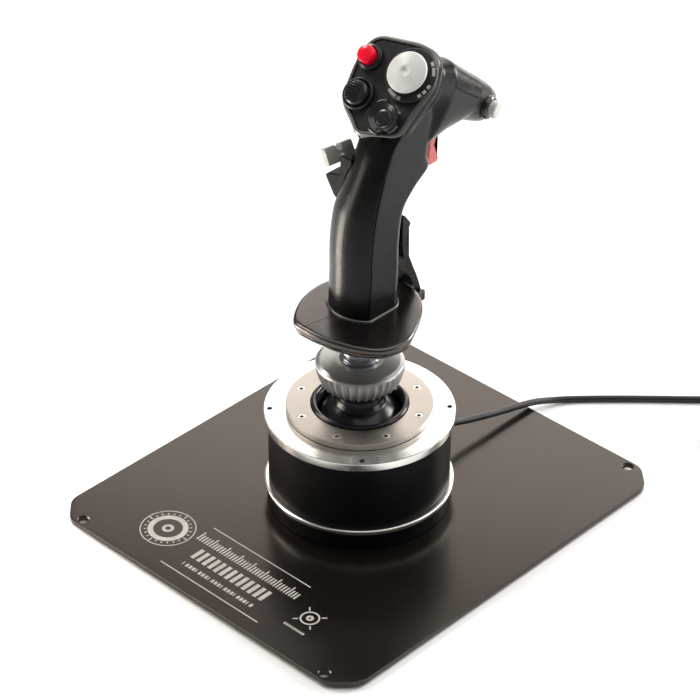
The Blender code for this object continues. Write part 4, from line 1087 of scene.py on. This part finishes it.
# ---------------------------------------------------------------- controls

TRIM_RING_R, TRIM_HAT_R = 15.3, 11.6
RED_R, RED_TOP = 5.0, 8.2
RIBBED_RING_R, RIBBED_HAT_R = 9.2, 7.0
CASTLE_R = 10.3


def make_face():
    plate = loft("face_plate", [face_ring(2.3, FACE_RIM + GAP), face_ring(0.75, FACE_RIM + GAP),
                                face_ring(0.35, FACE_RIM + GAP + 0.12), face_ring(GAP, FACE_RIM + GAP + 0.5)])
    holes = [(rod("hole", 4.8, -8, 4), face_frame(*at)) for at in (TRIM_AT, RIBBED_AT, CASTLE_AT)]
    holes.append((rod("hole", RED_R + 0.4, -8, 4), face_frame(*RED_AT)))
    piece("face_fine", carve(plate, holes, sharp=30), "face", "stick", ["face_plate"])


def make_trim_hat():
    """A wide light cap, dished to a pit in its middle, over a dark ring with plain printed arcs."""
    at = face_frame(*TRIM_AT)
    ring = [(5.4, 1.6), (12.2, 2.0), (12.6, 2.25), (TRIM_RING_R - 0.5, 2.25), (TRIM_RING_R, 1.7),
            (TRIM_RING_R, GAP), (5.4, GAP)]
    turned("trim_bezel", ring, 96, 0.25, "face", "stick", "trim_hat_bezel", at)
    marks = []
    inner, outer, low, high = 12.7, 14.5, 2.2, 2.32
    for start, sweep in ((-128, 26), (-98, 9), (-46, 9), (-32, 9), (-17, 9), (14, 20), (38, 11)):
        steps = max(3, sweep // 3)
        angles = [math.radians(start + sweep * i / steps) for i in range(steps + 1)]
        outline = [polar(inner, a) for a in angles] + [polar(outer, a) for a in reversed(angles)]
        marks.append(prism("mark", outline, low, high))
    piece("trim_ring_marks", joined("trim_marks", marks), "print", "stick", (), at)
    rim = TRIM_HAT_R
    cap = [(0, 8.1), (1.1, 8.2), (2.4, 9.2), (3.3, 9.35), (rim - 1.4, 7.7), (rim - 0.4, 7.3), (rim, 6.7),
           (rim, 5.9), (rim - 0.5, 5.5), (3.5, 4.1), (1.5, 3.4), (1.5, -5.5), (0, -5.5)]
    turned("trim_hat", cap, 96, 0.5, "light_hat", "trim_hat", "trim_hat", at, 60)


def make_ribbed_hat():
    """A low square-shouldered cap with ribs across it, in a raised ring."""
    at = face_frame(*RIBBED_AT)
    ring = [(7.6, 2.6), (8.0, 3.1), (8.7, 3.1), (RIBBED_RING_R, 2.3), (RIBBED_RING_R, GAP), (7.6, GAP)]
    turned("ribbed_bezel", ring, 80, 0.35, "black_hat", "stick", "ribbed_hat_bezel", at)
    rim, pitch = RIBBED_HAT_R, 1.45
    cap = [(0, 6.2), (3.0, 6.1), (5.9, 5.7), (rim, 4.6), (rim, 3.1), (rim - 1, 2.8), (1.5, 2.7), (1.5, -2),
           (0, -2)]
    slots = []
    for i in range(8):
        y = (i - 3.5) * pitch
        slots.append((block(f"rib_slot_{i}", (-9, y - 0.36, 5.0), (3.2, y + 0.36, 8)), None))
    hat = bevelled(carve(lathe("ribbed_hat", cap, 96, 0.6, sharp=50), slots, sharp=40), "ribbed_hat", 0.14)
    piece("ribbed_hat_fine", hat, "black_hat", "ribbed_hat", ["ribbed_hat"], at)


def make_castle_hat():
    """A cap with a low domed middle inside five raised lobes, with a scallop between each two."""
    at = face_frame(*CASTLE_AT)
    rim, middle = CASTLE_R, 4.6
    cap = [(0, 5.7), (3.6, 5.6), (middle, 5.2), (middle + 0.6, 5.2), (rim - 2.2, 6.9), (rim - 1.1, 7.0),
           (rim - 0.4, 6.6), (rim, 5.6), (rim - 0.1, 4.5), (rim - 0.9, 3.7), (4.0, 3.1), (1.5, 2.4),
           (1.5, -5.5), (0, -5.5)]
    cuts = []
    for i in range(5):
        turn = Matrix.Rotation(math.tau * i / 5 + 0.14, 4, "Z")
        cuts.append((rod("castle_notch", 3.6, 2.6, 9, 32), turn @ upright((rim + 0.9, 0, 0))))
    hat = carve(lathe("castle_hat", cap, 96, 0.45, sharp=40), cuts, sharp=40)
    hat = bevelled(hat, "castle_hat", 0.35, 35)
    piece("castle_hat_fine", hat, "black_hat", "castle_hat", ["castle_hat"], at)


def make_red_button():
    at = face_frame(*RED_AT)
    nut = [(RED_R + 0.4, 3.7), (6.1, 3.7), (6.3, 2.5), (7.3, 2.3), (7.3, 0.9), (7.3, GAP), (RED_R + 0.4, GAP)]
    turned("red_bezel", nut, 72, 0.3, "black_hat", "stick", "red_button_bezel", at)
    skirt, stem_r, stem_end = -0.3, 2.0, -5.5
    cap = [(0, RED_TOP + 0.35), (2.6, RED_TOP + 0.2), (RED_R, RED_TOP - 0.5), (RED_R, skirt), (stem_r, skirt),
           (stem_r, stem_end), (0, stem_end)]
    turned("red_button", cap, 72, 0.6, "red", "red_button", "red_button", at)


def make_nose_button():
    at = frame_along(NOSE_BUTTON_AXIS, NOSE_BUTTON_AT)
    bore = NOSE_BUTTON_R + 0.35
    out = NOSE_COLLAR_R
    collar = [(bore, 2.6), (out - 0.9, 2.6), (out, 1.5), (out, 0.6), (out - 0.25, 0.4), (out, 0.2),
              (out, -7.5), (bore, -7.5)]
    turned("nose_collar", collar, 72, 0.3, "chrome", "stick", "nose_button_collar", at)
    out = NOSE_BUTTON_R
    cap = [(0, 6.35), (3.4, 6.45), (out, 6.1), (out, 4.2), (out - 0.2, 4.0), (out, 3.8), (out, -5.5),
           (0, -5.5)]
    # the button finish is a darker copy of the light grey, painted shade against the lamps
    turned("nose_button", cap, 72, 0.35, "button", "nose_button", "nose_button", at)


def make_trigger():
    y, z = TRIGGER_PIVOT.y, TRIGGER_PIVOT.z
    outline = [(y - 3, z + 2), (y + 2, z + 3), (y + 3.6, z - 2), (y + 1.6, z - 8), (y + 0.1, z - 13),
               (y + 0.7, z - 18), (y + 2.6, z - 22.5), (y + 3.5, z - 24.8), (y + 2.4, z - 26.0),
               (y - 4.0, z - 26.0), (y - 5.2, z - 24.6), (y - 4.8, z - 18), (y - 4.4, z - 8)]
    outline = [tuple(p) for p in eased(outline, 2.0, True, 5)]
    low, high = TRIGGER_PIVOT.x - TRIGGER_W / 2, TRIGGER_PIVOT.x + TRIGGER_W / 2
    mesh = prism("trigger", outline, low, high, "YZ", 1.3, 50)
    piece("trigger_fine", mesh, "trigger", "trigger", ["trigger"])


def make_lever():
    y, z = LEVER_PIVOT.y, LEVER_PIVOT.z
    barrel = [polar(3, math.radians(a)) for a in (150, 180, 210, 240, 270, 300, 330, 0, 30)]
    barrel = [(y + along, z + up) for along, up in barrel]
    paddle = [(y + 1.2, z + 6.4), (y - 1.5, z + 14), (y - 5.0, z + 22), (y - 8.6, z + 31), (y - 9.6, z + 40),
              (y - 9.4, z + 47), (y - 6.8, z + 50), (y - 12.0, z + 57), (y - 13.4, z + 56),
              (y - 13.4, z + 40), (y - 12.4, z + 30), (y - 8.6, z + 19), (y - 4.4, z + 10)]
    outline = [tuple(p) for p in eased(barrel + paddle, 1.6, True, 3)]
    low, high = LEVER_PIVOT.x - LEVER_W / 2, LEVER_PIVOT.x + LEVER_W / 2
    across = frame_along((1, 0, 0), LEVER_PIVOT)
    lever = bevelled(prism("lever", outline, low, high, "YZ"), "lever", 0.9)
    lever = carve(lever, [(rod("lever_pin_bore", 1.4, -20, 20), across)], sharp=40)
    piece("pinky_lever_fine", lever, "grip", "pinky_lever", ["pinky_lever"])
    end = LEVER_W / 2 + 2.8
    pin = [(0, end), (1.1, end), (1.1, -end), (0, -end)]
    turned("lever_pin", pin, 32, 0.3, "chrome", "stick", "lever_pin", across)


SIDE_HAT_AT = Vector((-20.7, 12.0, 212.0))


def make_side_hat():
    x, y, z = SIDE_HAT_AT
    outline = [(x + 1.4, z + 5.5), (x + 0.6, z + 3.0), (x + 0.6, z - 7.0), (x - 7.0, z - 8.7),
               (x - 10.2, z - 10.4), (x - 9.6, z - 12.6), (x - 4.0, z - 21.6), (x + 0.5, z - 25),
               (x + 9, z - 25), (x + 9, z + 5.5)]
    sides = [[(px, py, pz) for px, pz in outline] for py in (y - 7.5, y + 7.5)]
    box = bevelled(loft("side_box", sides), "side_box", 0.9)
    grown = loft("grown_column", [column_section(level, GAP + 0.1) for level in COLUMN])
    out = frame_along((-1, 0, 0), SIDE_HAT_AT)
    box = carve(box, [(grown, None), (rod("plunger_bore", 3.9, -20, 4), out)], sharp=40)
    # the box finish is a darker copy of the grip's black, painted shade
    piece("side_box_fine", box, "box", "stick", ["side_hat_box"])
    lean = Matrix.Rotation(math.radians(-8), 4, "Z") @ Matrix.Rotation(math.radians(-25), 4, "Y")
    cap_at = upright((x - 7.6, y, z + 0.8)) @ lean
    section = [(-2.2, -4.9), (2.2, -4.9), (2.2, 1.9), (1.3, 4.9), (-2.2, 4.9)]
    sides = [[(px, py, pz) for px, pz in section] for py in (-9.3, 9.3)]
    cap = bevelled(loft("side_cap", sides), "side_cap", 0.5, 30)
    cap.transform(cap_at)
    stem = rod("side_stem", 1.5, -1.5, 7.5)
    notch_outline = [(y - 2.8, z + 9), (y - 1.6, z + 3.6), (y - 0.9, z + 2.9), (y + 0.9, z + 2.9),
                     (y + 1.6, z + 3.6), (y + 2.8, z + 9)]
    notch = prism("side_notch", notch_outline, x - 16, x - 1.5, "YZ")
    cap = carve(cap, [(notch, None)])
    cap = carve(cap, [(stem, out)], "UNION")
    piece("side_hat_fine", cap, "grey_hat", "side_hat", ["side_hat"])


# ---------------------------------------------------------------- all of it

make_camera()
make_materials()
make_cord()
make_studio()
make_gland()
finish_carried_nodes()
make_plate()
make_housing()
make_top()
make_stick()
make_grip()
make_face()
make_trim_hat()
make_ribbed_hat()
make_castle_hat()
make_red_button()
make_nose_button()
make_trigger()
make_lever()
make_side_hat()
